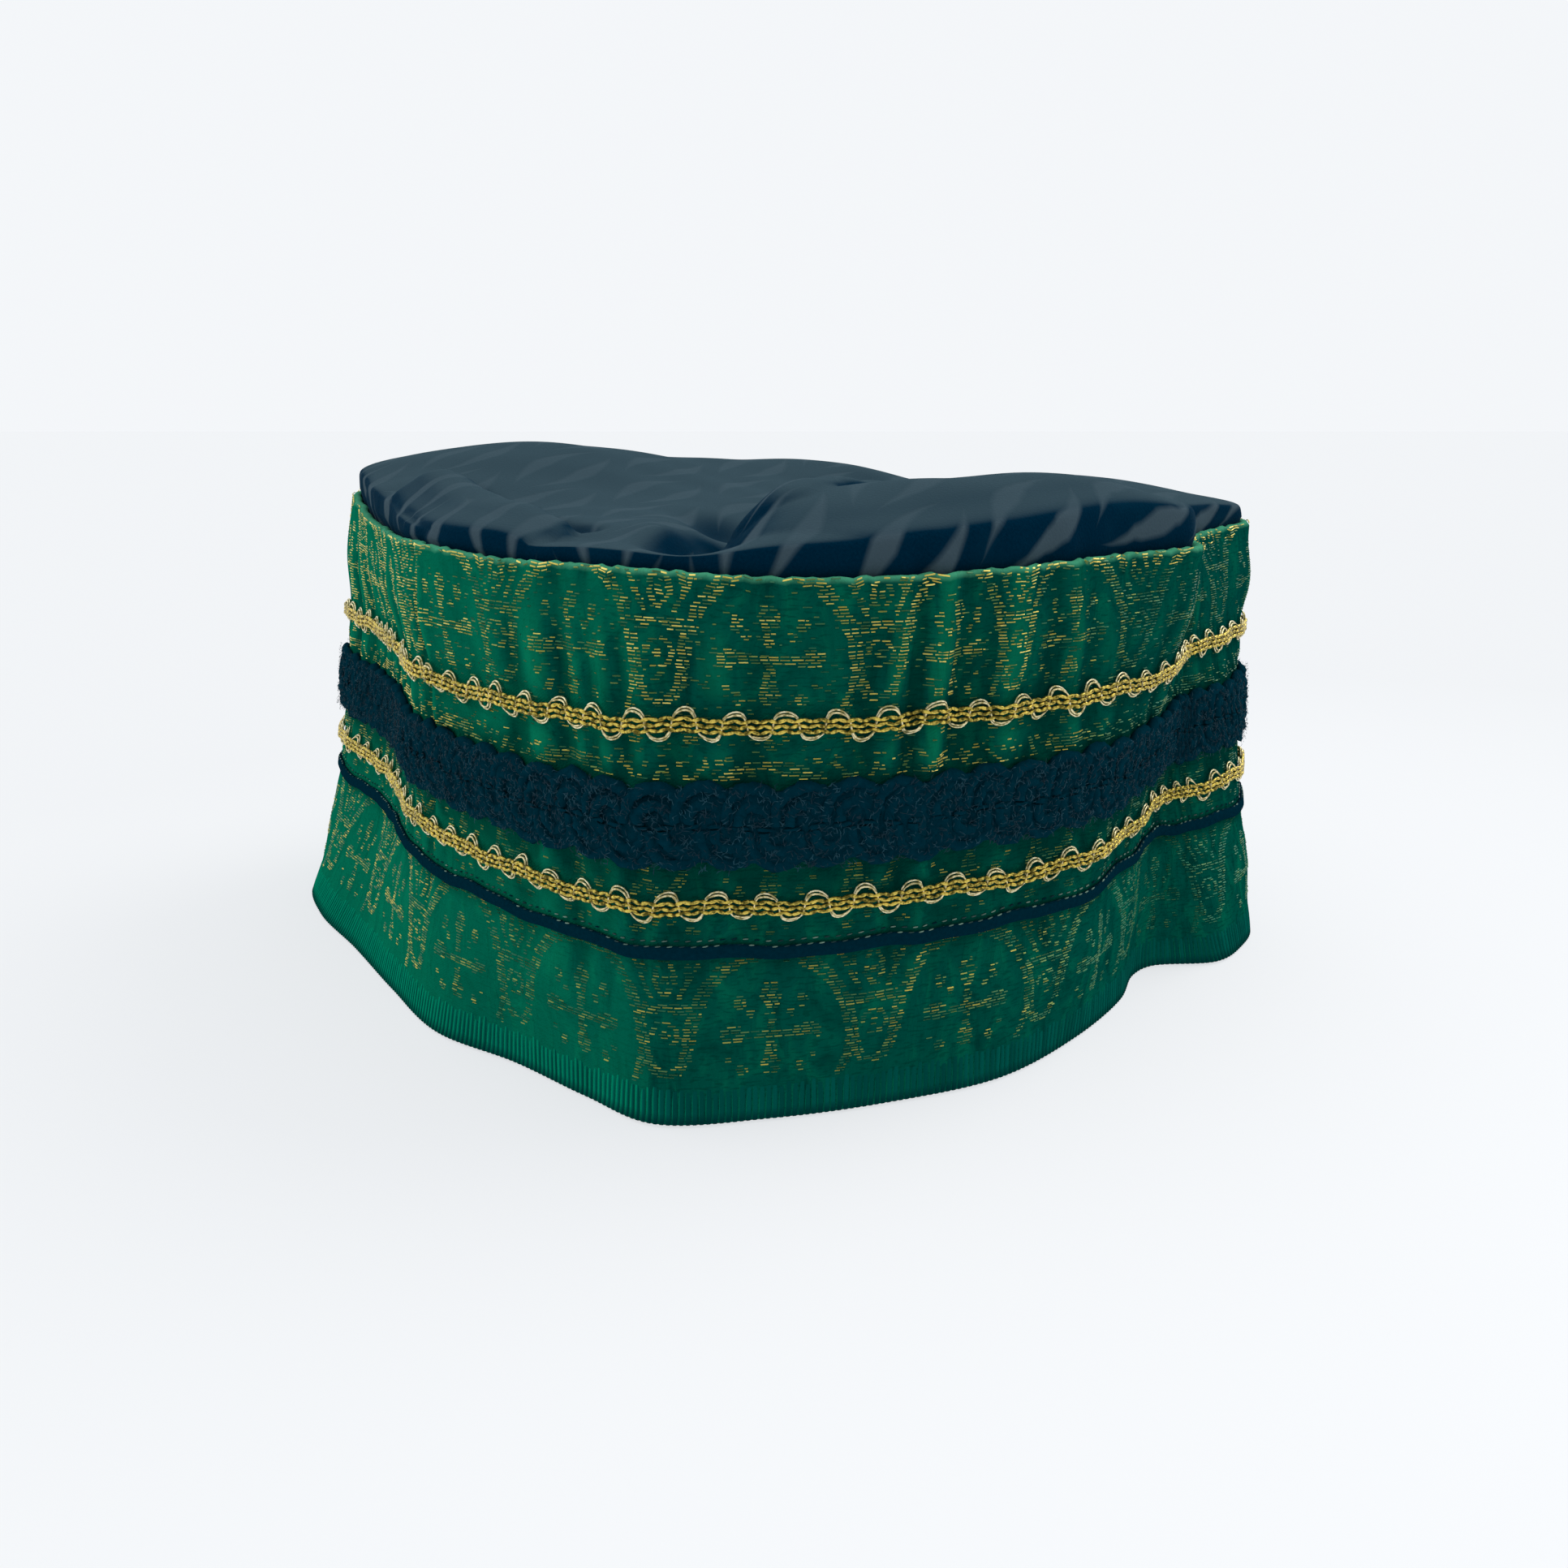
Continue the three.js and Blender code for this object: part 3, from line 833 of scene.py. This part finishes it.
GIMP_REPEATS = 78
GIMP_PITCH = ROUND / GIMP_REPEATS
SWING = 2.35
WIRE_RADIUS = 0.18
WIRE_STEPS = 22
STRANDS = 3
STRAND_SPACING = 0.84
LINKS = 6
LINK_SIZE = (0.42, 0.36, 0.86)
ARC_LEAN = 0.48
# The two wires: how much less the inner one swings, and their levels.
WIRES = [(0.0, 0.62), (0.42, 0.98)]


def gimp(name, middle_height, shift):
    parts = []
    for inset, level in WIRES:
        path = [
            (
                GIMP_PITCH * turn - ARC_LEAN * math.sin(4 * math.pi * turn),
                middle_height + (SWING - inset) * math.sin(2 * math.pi * turn),
                level + 0.12 * math.cos(4 * math.pi * turn),
            )
            for turn in np.arange(WIRE_STEPS + 1) / WIRE_STEPS
        ]
        parts.append(swept("gimp_wire", path, WIRE_RADIUS, 6))
        mark(parts[-1], "wire", 1.0 - inset * 0.6)
    for strand in range(STRANDS):
        for link in range(LINKS):
            along = GIMP_PITCH * (link + 0.5 * (strand % 2)) / LINKS
            up = middle_height + (strand - 1) * STRAND_SPACING
            tilt = 16 if (strand + link) % 2 else -16
            parts.append(bead("gimp_link", 5, (along, up, 1.12), tilt, LINK_SIZE))
            mark(parts[-1], "wire", 0.0)
    braid = joined(name, parts)
    repeated(braid, GIMP_REPEATS, GIMP_PITCH)
    flat = places(braid)
    turn = flat[:, 0] / ROUND * 2 * np.pi
    flat[:, 0] += shift
    arcs = np.abs(flat[:, 1] - middle_height) > 1.5
    flat[:, 1] += 0.22 * np.sin(turn * 31 + shift) + 0.16 * np.sin(turn * 17)
    flat[:, 1] += arcs * 0.25 * np.sin(turn * 61 + 2 * shift)
    flat[:, 2] += 0.12 * np.sin(turn * 47 + shift)
    put(braid, sewn_round(flat))
    smooth(braid)
    return braid


# Gold thread: metallised film wound on a cotton core, so it shines in fine broken lines. The wires
# are paler and smoother than the chained strands.
gimp_gold = new_material("gimp_thread_gold")
kind = node(gimp_gold, "Attribute", attribute_name="wire").outputs["Fac"]
coords = node(gimp_gold, "TexCoord")
wound = node(gimp_gold, "TexNoise", {"Vector": coords.outputs["Object"], "Scale": 1400.0, "Detail": 2.0})
broken = node(gimp_gold, "MapRange", {"Value": wound, "From Min": 0.38, "From Max": 0.6})
strand, wire = (
    node(gimp_gold, "MixRGB", {"Fac": broken, "Color1": linear(dull), "Color2": linear(bright)})
    for dull, bright in ((0x5C5418, 0xE6CC5E), (0xB0A56C, 0xFFF4CC))
)
both = node(gimp_gold, "MixRGB", {"Fac": kind, "Color1": strand, "Color2": wire})
windings = node(gimp_gold, "Bump", {"Height": wound, "Strength": 0.7, "Distance": 0.0002})
finish_material(
    gimp_gold, {"Base Color": both, "Metallic": 0.8, "Roughness": 0.32, "Normal": windings}
)
for name, node_name, middle_height, shift in (
    ("gold_gimp_lower", "gold_braid_lower", 37.4, 0.0),
    ("gold_gimp_upper", "gold_braid_upper", 65.7, 3.1),
):
    braid = gimp(name, middle_height, shift)
    braid.data.materials.append(gimp_gold)
    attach(braid, "root")
    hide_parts(node_name)

# Black scroll braid
# Thick fluffy yarn laid in two rows of loops over a tape, joined by a row of stitches along its
# middle, so its edges scallop. It is sewn onto the band along both rows.

SCROLL_REPEATS = 79
SCROLL_PITCH = ROUND / SCROLL_REPEATS
SCROLL_MIDDLE = 50.3
YARN_RADIUS = 1.0
# The loops of a row: half their breadth in repeats, how far they reach, and their level.
LOOPS = [(0.58, 5.5, 0.75), (0.3, 2.9, 0.95)]
TAPE_HALF = 5.6
KNOT_SIZE = (0.35, 0.4, 1.5)
FIBRES = 14000

parts = []
for side, shift in ((1, 0.0), (-1, 0.5)):
    for wide, tall, level in LOOPS:
        path = [
            (
                SCROLL_PITCH * (0.5 + shift - wide * math.cos(a)),
                SCROLL_MIDDLE + side * (0.5 + tall * math.sin(a) ** 0.8),
                level + 0.25 * math.cos(a),
            )
            for a in np.pi * np.arange(21) / 20
        ]
        parts.append(swept("scroll_loop", path, YARN_RADIUS, 8))
parts.append(strip("scroll_tape", SCROLL_PITCH, SCROLL_MIDDLE, TAPE_HALF, 0.75, 0.6))
for knot in range(2):
    place = (SCROLL_PITCH * (0.25 + 0.5 * knot), SCROLL_MIDDLE, 1.75)
    parts.append(bead("scroll_knot", 4, place, 0, KNOT_SIZE))
scroll = joined("black_scroll_braid", parts)
repeated(scroll, SCROLL_REPEATS, SCROLL_PITCH)
flat = places(scroll)
turn = flat[:, 0] / ROUND * 2 * np.pi
# Seeded, so that the tufts come out the same each time.
noise.seed_set(5)
tufted = 0.7 * np.array([noise.noise_vector(Vector(place) * 1.1) for place in flat])
tufted += 0.5 * np.array([noise.noise_vector(Vector(place) * 2.6) for place in flat])
fluffy_side = flat[:, 2] > 0.5
flat[:, 2] = np.maximum(flat[:, 2] + 0.5 * tufted[:, 2] * fluffy_side, 0.12)
flat[:, 0] += 0.5 * tufted[:, 0] * fluffy_side * (flat[:, 0] > 4) * (flat[:, 0] < ROUND - 4)
flat[:, 1] += 0.5 * tufted[:, 1] * fluffy_side + 0.3 * np.sin(turn * 27 + 0.6)
put(scroll, sewn_round(flat))
smooth(scroll)

# Loose fibres of the yarn: thin slivers, each a flat strip of two steps, curled over.
fibre_places = []
fibre_faces = []
for number in range(FIBRES):
    x0 = chance.uniform(0, ROUND)
    z0 = SCROLL_MIDDLE + chance.uniform(-6.4, 6.4)
    way = chance.uniform(0, 2 * math.pi)
    curl = chance.uniform(-1.2, 1.2)
    step = chance.uniform(0.35, 0.65)
    out = 1.75 + chance.uniform(-0.35, 0.55)
    place = (x0, z0)
    for stage in range(3):
        half = (0.06, 0.07, 0.02)[stage]
        across = (-math.sin(way) * half, math.cos(way) * half)
        lift = out + (0.0, 0.2, 0.05)[stage]
        fibre_places.append((place[0] - across[0], place[1] - across[1], lift))
        fibre_places.append((place[0] + across[0], place[1] + across[1], lift))
        way += curl
        place = (place[0] + math.cos(way) * step, place[1] + math.sin(way) * step)
    k = number * 6
    fibre_faces += [(k, k + 2, k + 3, k + 1), (k + 2, k + 4, k + 5, k + 3)]
fibre_mesh = bpy.data.meshes.new("braid_fibres")
fibre_mesh.from_pydata(sewn_round(np.array(fibre_places)).tolist(), [], fibre_faces)
fibres = bpy.data.objects.new("braid_fibres", fibre_mesh)
bpy.context.collection.objects.link(fibres)

# Brushed acrylic yarn, black with a blue cast: matt, fluffy, with a pale bloom where fibres stand up.
acrylic = new_material("brushed_yarn_black")
coords = node(acrylic, "TexCoord")
tufts = node(acrylic, "TexNoise", {"Vector": coords.outputs["Object"], "Scale": 900.0, "Detail": 4.0})
yarn = node(acrylic, "MixRGB", {"Fac": tufts, "Color1": linear(0x00202C), "Color2": linear(0x033442)})
brushed = node(acrylic, "Bump", {"Height": tufts, "Strength": 0.7, "Distance": 0.0004})
finish_material(
    acrylic,
    {
        "Base Color": yarn,
        "Roughness": 0.9,
        "IOR": 1.0,
        "Sheen Weight": 0.07,
        "Sheen Roughness": 0.5,
        "Sheen Tint": linear(0x2F6E80),
        "Normal": brushed,
    },
)
loose = new_material("brushed_yarn_loose_fibres")
coords = node(loose, "TexCoord")
mixed = node(loose, "TexNoise", {"Vector": coords.outputs["Object"], "Scale": 500.0})
fibre_tone = node(loose, "ValToRGB", {"Fac": mixed})
fibre_tone.color_ramp.elements[0].position = 0.45
fibre_tone.color_ramp.elements[0].color = linear(0x012431)
fibre_tone.color_ramp.elements[1].position = 0.68
fibre_tone.color_ramp.elements[1].color = linear(0x154250)
finish_material(loose, {"Base Color": fibre_tone, "Roughness": 0.7, "Specular IOR Level": 0.2})
scroll.data.materials.append(acrylic)
fibre_mesh.materials.append(loose)
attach(scroll, "root")
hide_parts("black_braid")
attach(fibres, "root")

# Velvet crown
# A soft disc of figured velvet, sewn inside the rim and larger than it, so it puffs up in two lobes
# with creases between them. It is seen edge on; where it faces up a grey sheen is painted into its colour.

CROWN_EDGE = -2.3
CROWN_TUCK = 8.0
CROWN_BASE_RISE = 3.0
CROWN_FULLNESS = 18
CROWN_STEEPNESS = 0.36
CROWN_RINGS = 110
# Share of the rings that are tucked down inside the band.
TUCKED = 0.06
CROWN_COLUMNS = 360

# Puffs: middle, turn of the long way in degrees, spread along and across, rise.
PUFFS = [
    (-50, 40, 29, 44, 34, 9.4),
    (-90, 32, 80, 20, 14, 0.6),
    (12, 70, 0, 34, 20, 4.5),
    (40, -52, 24, 54, 29, 8.2),
    (70, 20, 95, 40, 26, 5.0),
    (-72, -12, -58, 23, 12, 4.5),
]
# Creases: from one place to another, depth and width.
CREASES = [
    (-7, -72, -4, -20, 5.0, 8.0),
    (-4, -20, 38, 62, 3.0, 10.0),
    (-26, -66, -10, -78, 2.0, 10.0),
]
# Rolls of slack velvet: their run, half their breadth, and how high they stand.
ROLLS = [
    ([(-62, -14), (-56, -28), (-47, -46), (-37, -62)], 8.0, 6.0),
    ([(10, -66), (34, -70), (58, -54)], 14.0, 2.2),
    ([(4, -62), (9, -44), (20, -24)], 8.0, 4.2),
]
# Sharp creases beside the rolls: their run, depth and width.
SHARP_CREASES = [
    ([(-82, 2), (-76, -12), (-70, -28)], 7.0, 6.5),
    ([(-60, -2), (-50, -16), (-40, -36), (-28, -56)], 5.5, 2.6),
    ([(-12, -72), (-4, -50), (6, -26)], 6.5, 4.0),
]


def to_stretch(x, y, x0, y0, x1, y1):
    long = (x1 - x0) ** 2 + (y1 - y0) ** 2
    t = np.clip(((x - x0) * (x1 - x0) + (y - y0) * (y1 - y0)) / long, 0, 1)
    return np.hypot(x - x0 - t * (x1 - x0), y - y0 - t * (y1 - y0))


def crown_rise(x, y):
    rise = np.full(x.shape, CROWN_BASE_RISE)
    for puff_x, puff_y, turn_degrees, long, wide, high in PUFFS:
        a = math.radians(turn_degrees)
        along_x = (x - puff_x) * math.cos(a) + (y - puff_y) * math.sin(a)
        along_y = (y - puff_y) * math.cos(a) - (x - puff_x) * math.sin(a)
        rise += high * np.exp(-((along_x / long) ** 2) - (along_y / wide) ** 2)
    for x0, y0, x1, y1, depth, width in CREASES:
        rise -= depth * np.exp(-((to_stretch(x, y, x0, y0, x1, y1) / width) ** 2))
    return rise


def crown_rolls(x, y):
    rise = np.zeros(x.shape)
    for run, half, high in ROLLS:
        near = np.full(x.shape, 1.0)
        for (x0, y0), (x1, y1) in zip(run, run[1:]):
            near = np.minimum(near, to_stretch(x, y, x0, y0, x1, y1) / half)
        rise = np.maximum(rise, high * np.sqrt(1 - near**2))
    for run, depth, width in SHARP_CREASES:
        for (x0, y0), (x1, y1) in zip(run, run[1:]):
            rise = rise - depth / 2 * np.exp(-((to_stretch(x, y, x0, y0, x1, y1) / width) ** 2))
    wrinkle = 0.22 * np.sin(0.16 * x + 0.27 * y + 1.5 * np.sin(0.05 * x))
    wrinkle = wrinkle * np.sin(0.05 * x - 0.08 * y + 1.0)
    crumpled = np.exp(-((to_stretch(x, y, -30, -56, -6, -64) / 10) ** 2))
    wrinkle += 0.5 * crumpled * np.sin(0.55 * x - 0.2 * y + 2.0 * np.sin(0.12 * y))
    return rise + wrinkle


bpy.ops.object.select_all(action="DESELECT")
bpy.ops.mesh.primitive_grid_add(x_subdivisions=CROWN_COLUMNS, y_subdivisions=CROWN_RINGS, size=1)
crown = start("velvet_crown")
grid = places(crown)
column = (grid[:, 0] + 0.5) * COLUMNS
inward = grid[:, 1] + 0.5
edge_flat = np.stack([column * ROUND / COLUMNS, 0 * column + BAND_HEIGHT, 0 * column + CROWN_EDGE], axis=1)
rim = sewn_round(edge_flat, 0) * 1000
edge_flat[:, 1] = BAND_HEIGHT - CROWN_TUCK * (1 - np.clip(inward / TUCKED, 0, 1))
tucked = sewn_round(edge_flat, 0) * 1000
reach = 1 - np.clip((inward - TUCKED) / (1 - TUCKED), 0, 1) ** 1.25
level = BAND_HEIGHT + (rim[:, 2] - BAND_HEIGHT) * reach**2
# The band's gathers die out within a few mm of the seam.
plain = smooth_band(column, 0 * column + BAND_HEIGHT)
plain *= 1 + CROWN_EDGE / np.linalg.norm(plain[:, :2], axis=1)[:, None]
gathered = (reach**60)[:, None]
x, y = (rim[:, :2] * gathered + plain[:, :2] * (1 - gathered)).T * reach
fullness = (1 - reach**CROWN_FULLNESS) ** CROWN_STEEPNESS
slack = (1 - reach**5) ** 0.7
above = crown_rise(x, y) * fullness + crown_rolls(x, y) * slack
bulge = 1 + 0.028 * np.exp(-(((reach - 0.965) / 0.03) ** 2))
domed = np.stack([x * bulge, y * bulge, level + above], axis=1)
shaped = np.where((inward > TUCKED)[:, None], domed, tucked)
put(crown, shaped * 0.001)

# On the cloth map, places are measured along the velvet from the middle outwards.
order = np.lexsort((inward, column))
rays = shaped[order].reshape(CROWN_COLUMNS + 1, CROWN_RINGS + 1, 3)
lengths = np.linalg.norm(np.diff(rays[:, ::-1], axis=1), axis=2)
from_middle = np.concatenate([np.zeros((CROWN_COLUMNS + 1, 1)), np.cumsum(lengths, axis=1)], axis=1)
radius = np.empty(len(shaped))
radius[order] = from_middle[:, ::-1].ravel()
direction = rim[:, :2] / np.linalg.norm(rim[:, :2], axis=1)[:, None]
lay_cloth_map(crown, direction * radius[:, None] * 0.001)
close_up(crown)
wall = crown.modifiers.new("cloth", "SOLIDIFY")
wall.thickness = 0.0012
wall.offset = -1
bpy.ops.object.modifier_apply(modifier="cloth")

# Leaves of the velvet's figure: breadth and height of their places, bow, offset and taper.
LEAF_WIDE = 12.0
LEAF_TALL = 25.0
LEAF_BOW = 0.115
LEAF_OFFSET = 5.4
LEAF_TAPER = 0.16

# Figured velvet, rayon pile on silk: almost black with a blue cast, with a grey sheen painted into
# its colour where it faces up. The figure is of paired bowed leaves in offset rows, cut lower and a
# little paler.
velvet = new_material("figured_velvet_black")
cloth = node(velvet, "UVMap", uv_map="cloth")
in_mm = node(velvet, "Mapping", {"Vector": cloth, "Scale": (1000, 1000, 1), "Rotation": (0, 0, 0.4)})
split = node(velvet, "SeparateXYZ", {"Vector": in_mm})
leaves = []
for across_start, up_start in ((0.0, 0.0), (LEAF_WIDE, LEAF_TALL)):
    across = node(velvet, "Math", {0: split.outputs["X"], 1: across_start}, operation="ADD")
    up = node(velvet, "Math", {0: split.outputs["Y"], 1: up_start}, operation="ADD")
    x_away = node(velvet, "Math", {0: across, 1: LEAF_WIDE}, operation="PINGPONG")
    y_away = node(velvet, "Math", {0: up, 1: LEAF_TALL}, operation="PINGPONG")
    # How far a place is from the bowed middle line of its leaf, which narrows to its ends.
    away = y_away
    for operation, value in (
        ("MULTIPLY", LEAF_BOW),
        ("POWER", 2.0),
        ("ADD", x_away),
        ("SUBTRACT", LEAF_OFFSET),
        ("ABSOLUTE", 0.0),
    ):
        away = node(velvet, "Math", {0: away, 1: value}, operation=operation)
    leaves.append(node(velvet, "Math", {0: y_away, 1: LEAF_TAPER, 2: away}, operation="MULTIPLY_ADD"))
nearest = node(velvet, "Math", {0: leaves[0], 1: leaves[1]}, operation="MINIMUM")
figure = node(velvet, "MapRange", {"Value": nearest, "From Min": 2.8, "From Max": 1.7})
pile = node(velvet, "TexNoise", {"Vector": in_mm, "Scale": 2.2, "Detail": 4.0})
crushed = node(velvet, "TexNoise", {"Vector": in_mm, "Scale": 0.09, "Detail": 3.0})
piled = node(velvet, "MixRGB", {"Fac": pile, "Color1": linear(0x00192B), "Color2": linear(0x012A3F)})
share = node(velvet, "MapRange", {"Value": crushed, "From Min": 0.5, "From Max": 0.75, "To Max": 0.5})
rubbed = node(velvet, "MixRGB", {"Fac": share, "Color1": piled, "Color2": linear(0x042D40)})
# Painted sheen: where the velvet faces up its colour is painted grey, for the pile lying flat under the
# light from above. On steep sides the pile is seen from its ends and stays dark, and the leaves stand out
# more.
velvet_place = node(velvet, "TexCoord")
slant = node(velvet, "SeparateXYZ", {"Vector": velvet_place.outputs["Normal"]}).outputs["Z"]
painted_sheen_share = node(
    velvet,
    "MapRange",
    {"Value": slant, "From Min": 0.72, "From Max": 0.985},
    interpolation_type="SMOOTHSTEP",
)
painted_sheen = node(velvet, "MixRGB", {"Fac": painted_sheen_share, "Color1": rubbed, "Color2": linear(0x32454E)})
clearness = node(velvet, "Math", {0: painted_sheen_share, 1: -0.5, 2: 0.85}, operation="MULTIPLY_ADD")
cut_share = node(velvet, "Math", {0: figure, 1: clearness}, operation="MULTIPLY")
figured = node(velvet, "MixRGB", {"Fac": cut_share, "Color1": painted_sheen, "Color2": linear(0x44555E)})
low_pile = node(velvet, "Math", {0: pile, 1: figure}, operation="SUBTRACT")
stands = node(velvet, "Bump", {"Height": low_pile, "Strength": 0.35, "Distance": 0.0005})
finish_material(
    velvet,
    {
        "Base Color": figured,
        "Roughness": 0.95,
        "IOR": 1.0,
        "Sheen Weight": 0.1,
        "Sheen Roughness": 0.25,
        "Sheen Tint": linear(0x9FBCC8),
        "Normal": stands,
    },
)
crown.data.materials.append(velvet)
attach(crown, "root")
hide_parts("crown")

# Floor, light and camera
# A plain pale floor that runs out under an even pale sky, with a broad soft light from the right.

SKY = (0.905, 0.925, 0.95, 1)

bpy.ops.object.select_all(action="DESELECT")
bpy.ops.mesh.primitive_plane_add(size=12)
floor = start("floor")
paper = new_material("matt_paper_white")
paper_place = node(paper, "TexCoord")
beside = node(
    paper,
    "Mapping",
    {"Vector": paper_place.outputs["Object"], "Location": (-0.35, 0.3, 0), "Scale": (2.5, 2.5, 0)},
)
# Painted light: a round pool of extra glow on the floor at the cap's right front, to lift the shade there.
painted_light_pool = node(paper, "TexGradient", {"Vector": beside}, gradient_type="SPHERICAL").outputs["Fac"]
lifted = node(paper, "Math", {0: painted_light_pool, 1: 0.1, 2: 0.682}, operation="MULTIPLY_ADD")
finish_material(
    paper,
    {
        "Base Color": (0.22, 0.223, 0.226, 1),
        "Roughness": 1.0,
        "Specular IOR Level": 0.0,
        "Emission Color": SKY,
        "Emission Strength": lifted,
    },
)
floor.data.materials.append(paper)

world = bpy.data.worlds.new("studio")
world.use_nodes = True
bpy.context.scene.world = world
around = node(world, "TexCoord")
way = node(world, "SeparateXYZ", {"Vector": around.outputs["Generated"]})
# The sky is brighter overhead and to the left, and dimmer in front and to the right: the axis, where
# the change starts and ends, and the strength there.
strength = 1.0
for axis, begin, end, low, high in (
    ("Z", 0.3, 0.9, 1.0, 1.5),
    ("Y", -0.9, 0.1, 0.42, 1.0),
    ("X", 0.58, 0.95, 1.0, 0.55),
    ("X", -0.58, -0.95, 1.0, 1.3),
):
    part = node(
        world,
        "MapRange",
        {"Value": way.outputs[axis], "From Min": begin, "From Max": end, "To Min": low, "To Max": high},
    )
    strength = node(world, "Math", {0: strength, 1: part}, operation="MULTIPLY")
connect(world.node_tree.nodes["Background"], {"Color": SKY, "Strength": strength})

sun_data = bpy.data.lights.new("window_right", "SUN")
sun_data.energy = 1.05
sun_data.angle = math.radians(38)
sun_data.color = (1.0, 0.98, 0.94)
sun = bpy.data.objects.new("window_right", sun_data)
bpy.context.collection.objects.link(sun)
sun.rotation_euler = (math.radians(-20), math.radians(42), 0)

camera_data = bpy.data.cameras.new("camera")
camera_data.lens = 29.22
camera_data.sensor_width = 36.0
camera_data.clip_start = 0.01
camera = bpy.data.objects.new("camera", camera_data)
bpy.context.collection.objects.link(camera)
camera.location = (0.005, -0.271, 0.1108)
camera.rotation_euler = (math.radians(90 - 16.5), 0, 0)
bpy.context.scene.camera = camera
bpy.context.scene.view_settings.view_transform = "Standard"

bpy.context.view_layer.update()
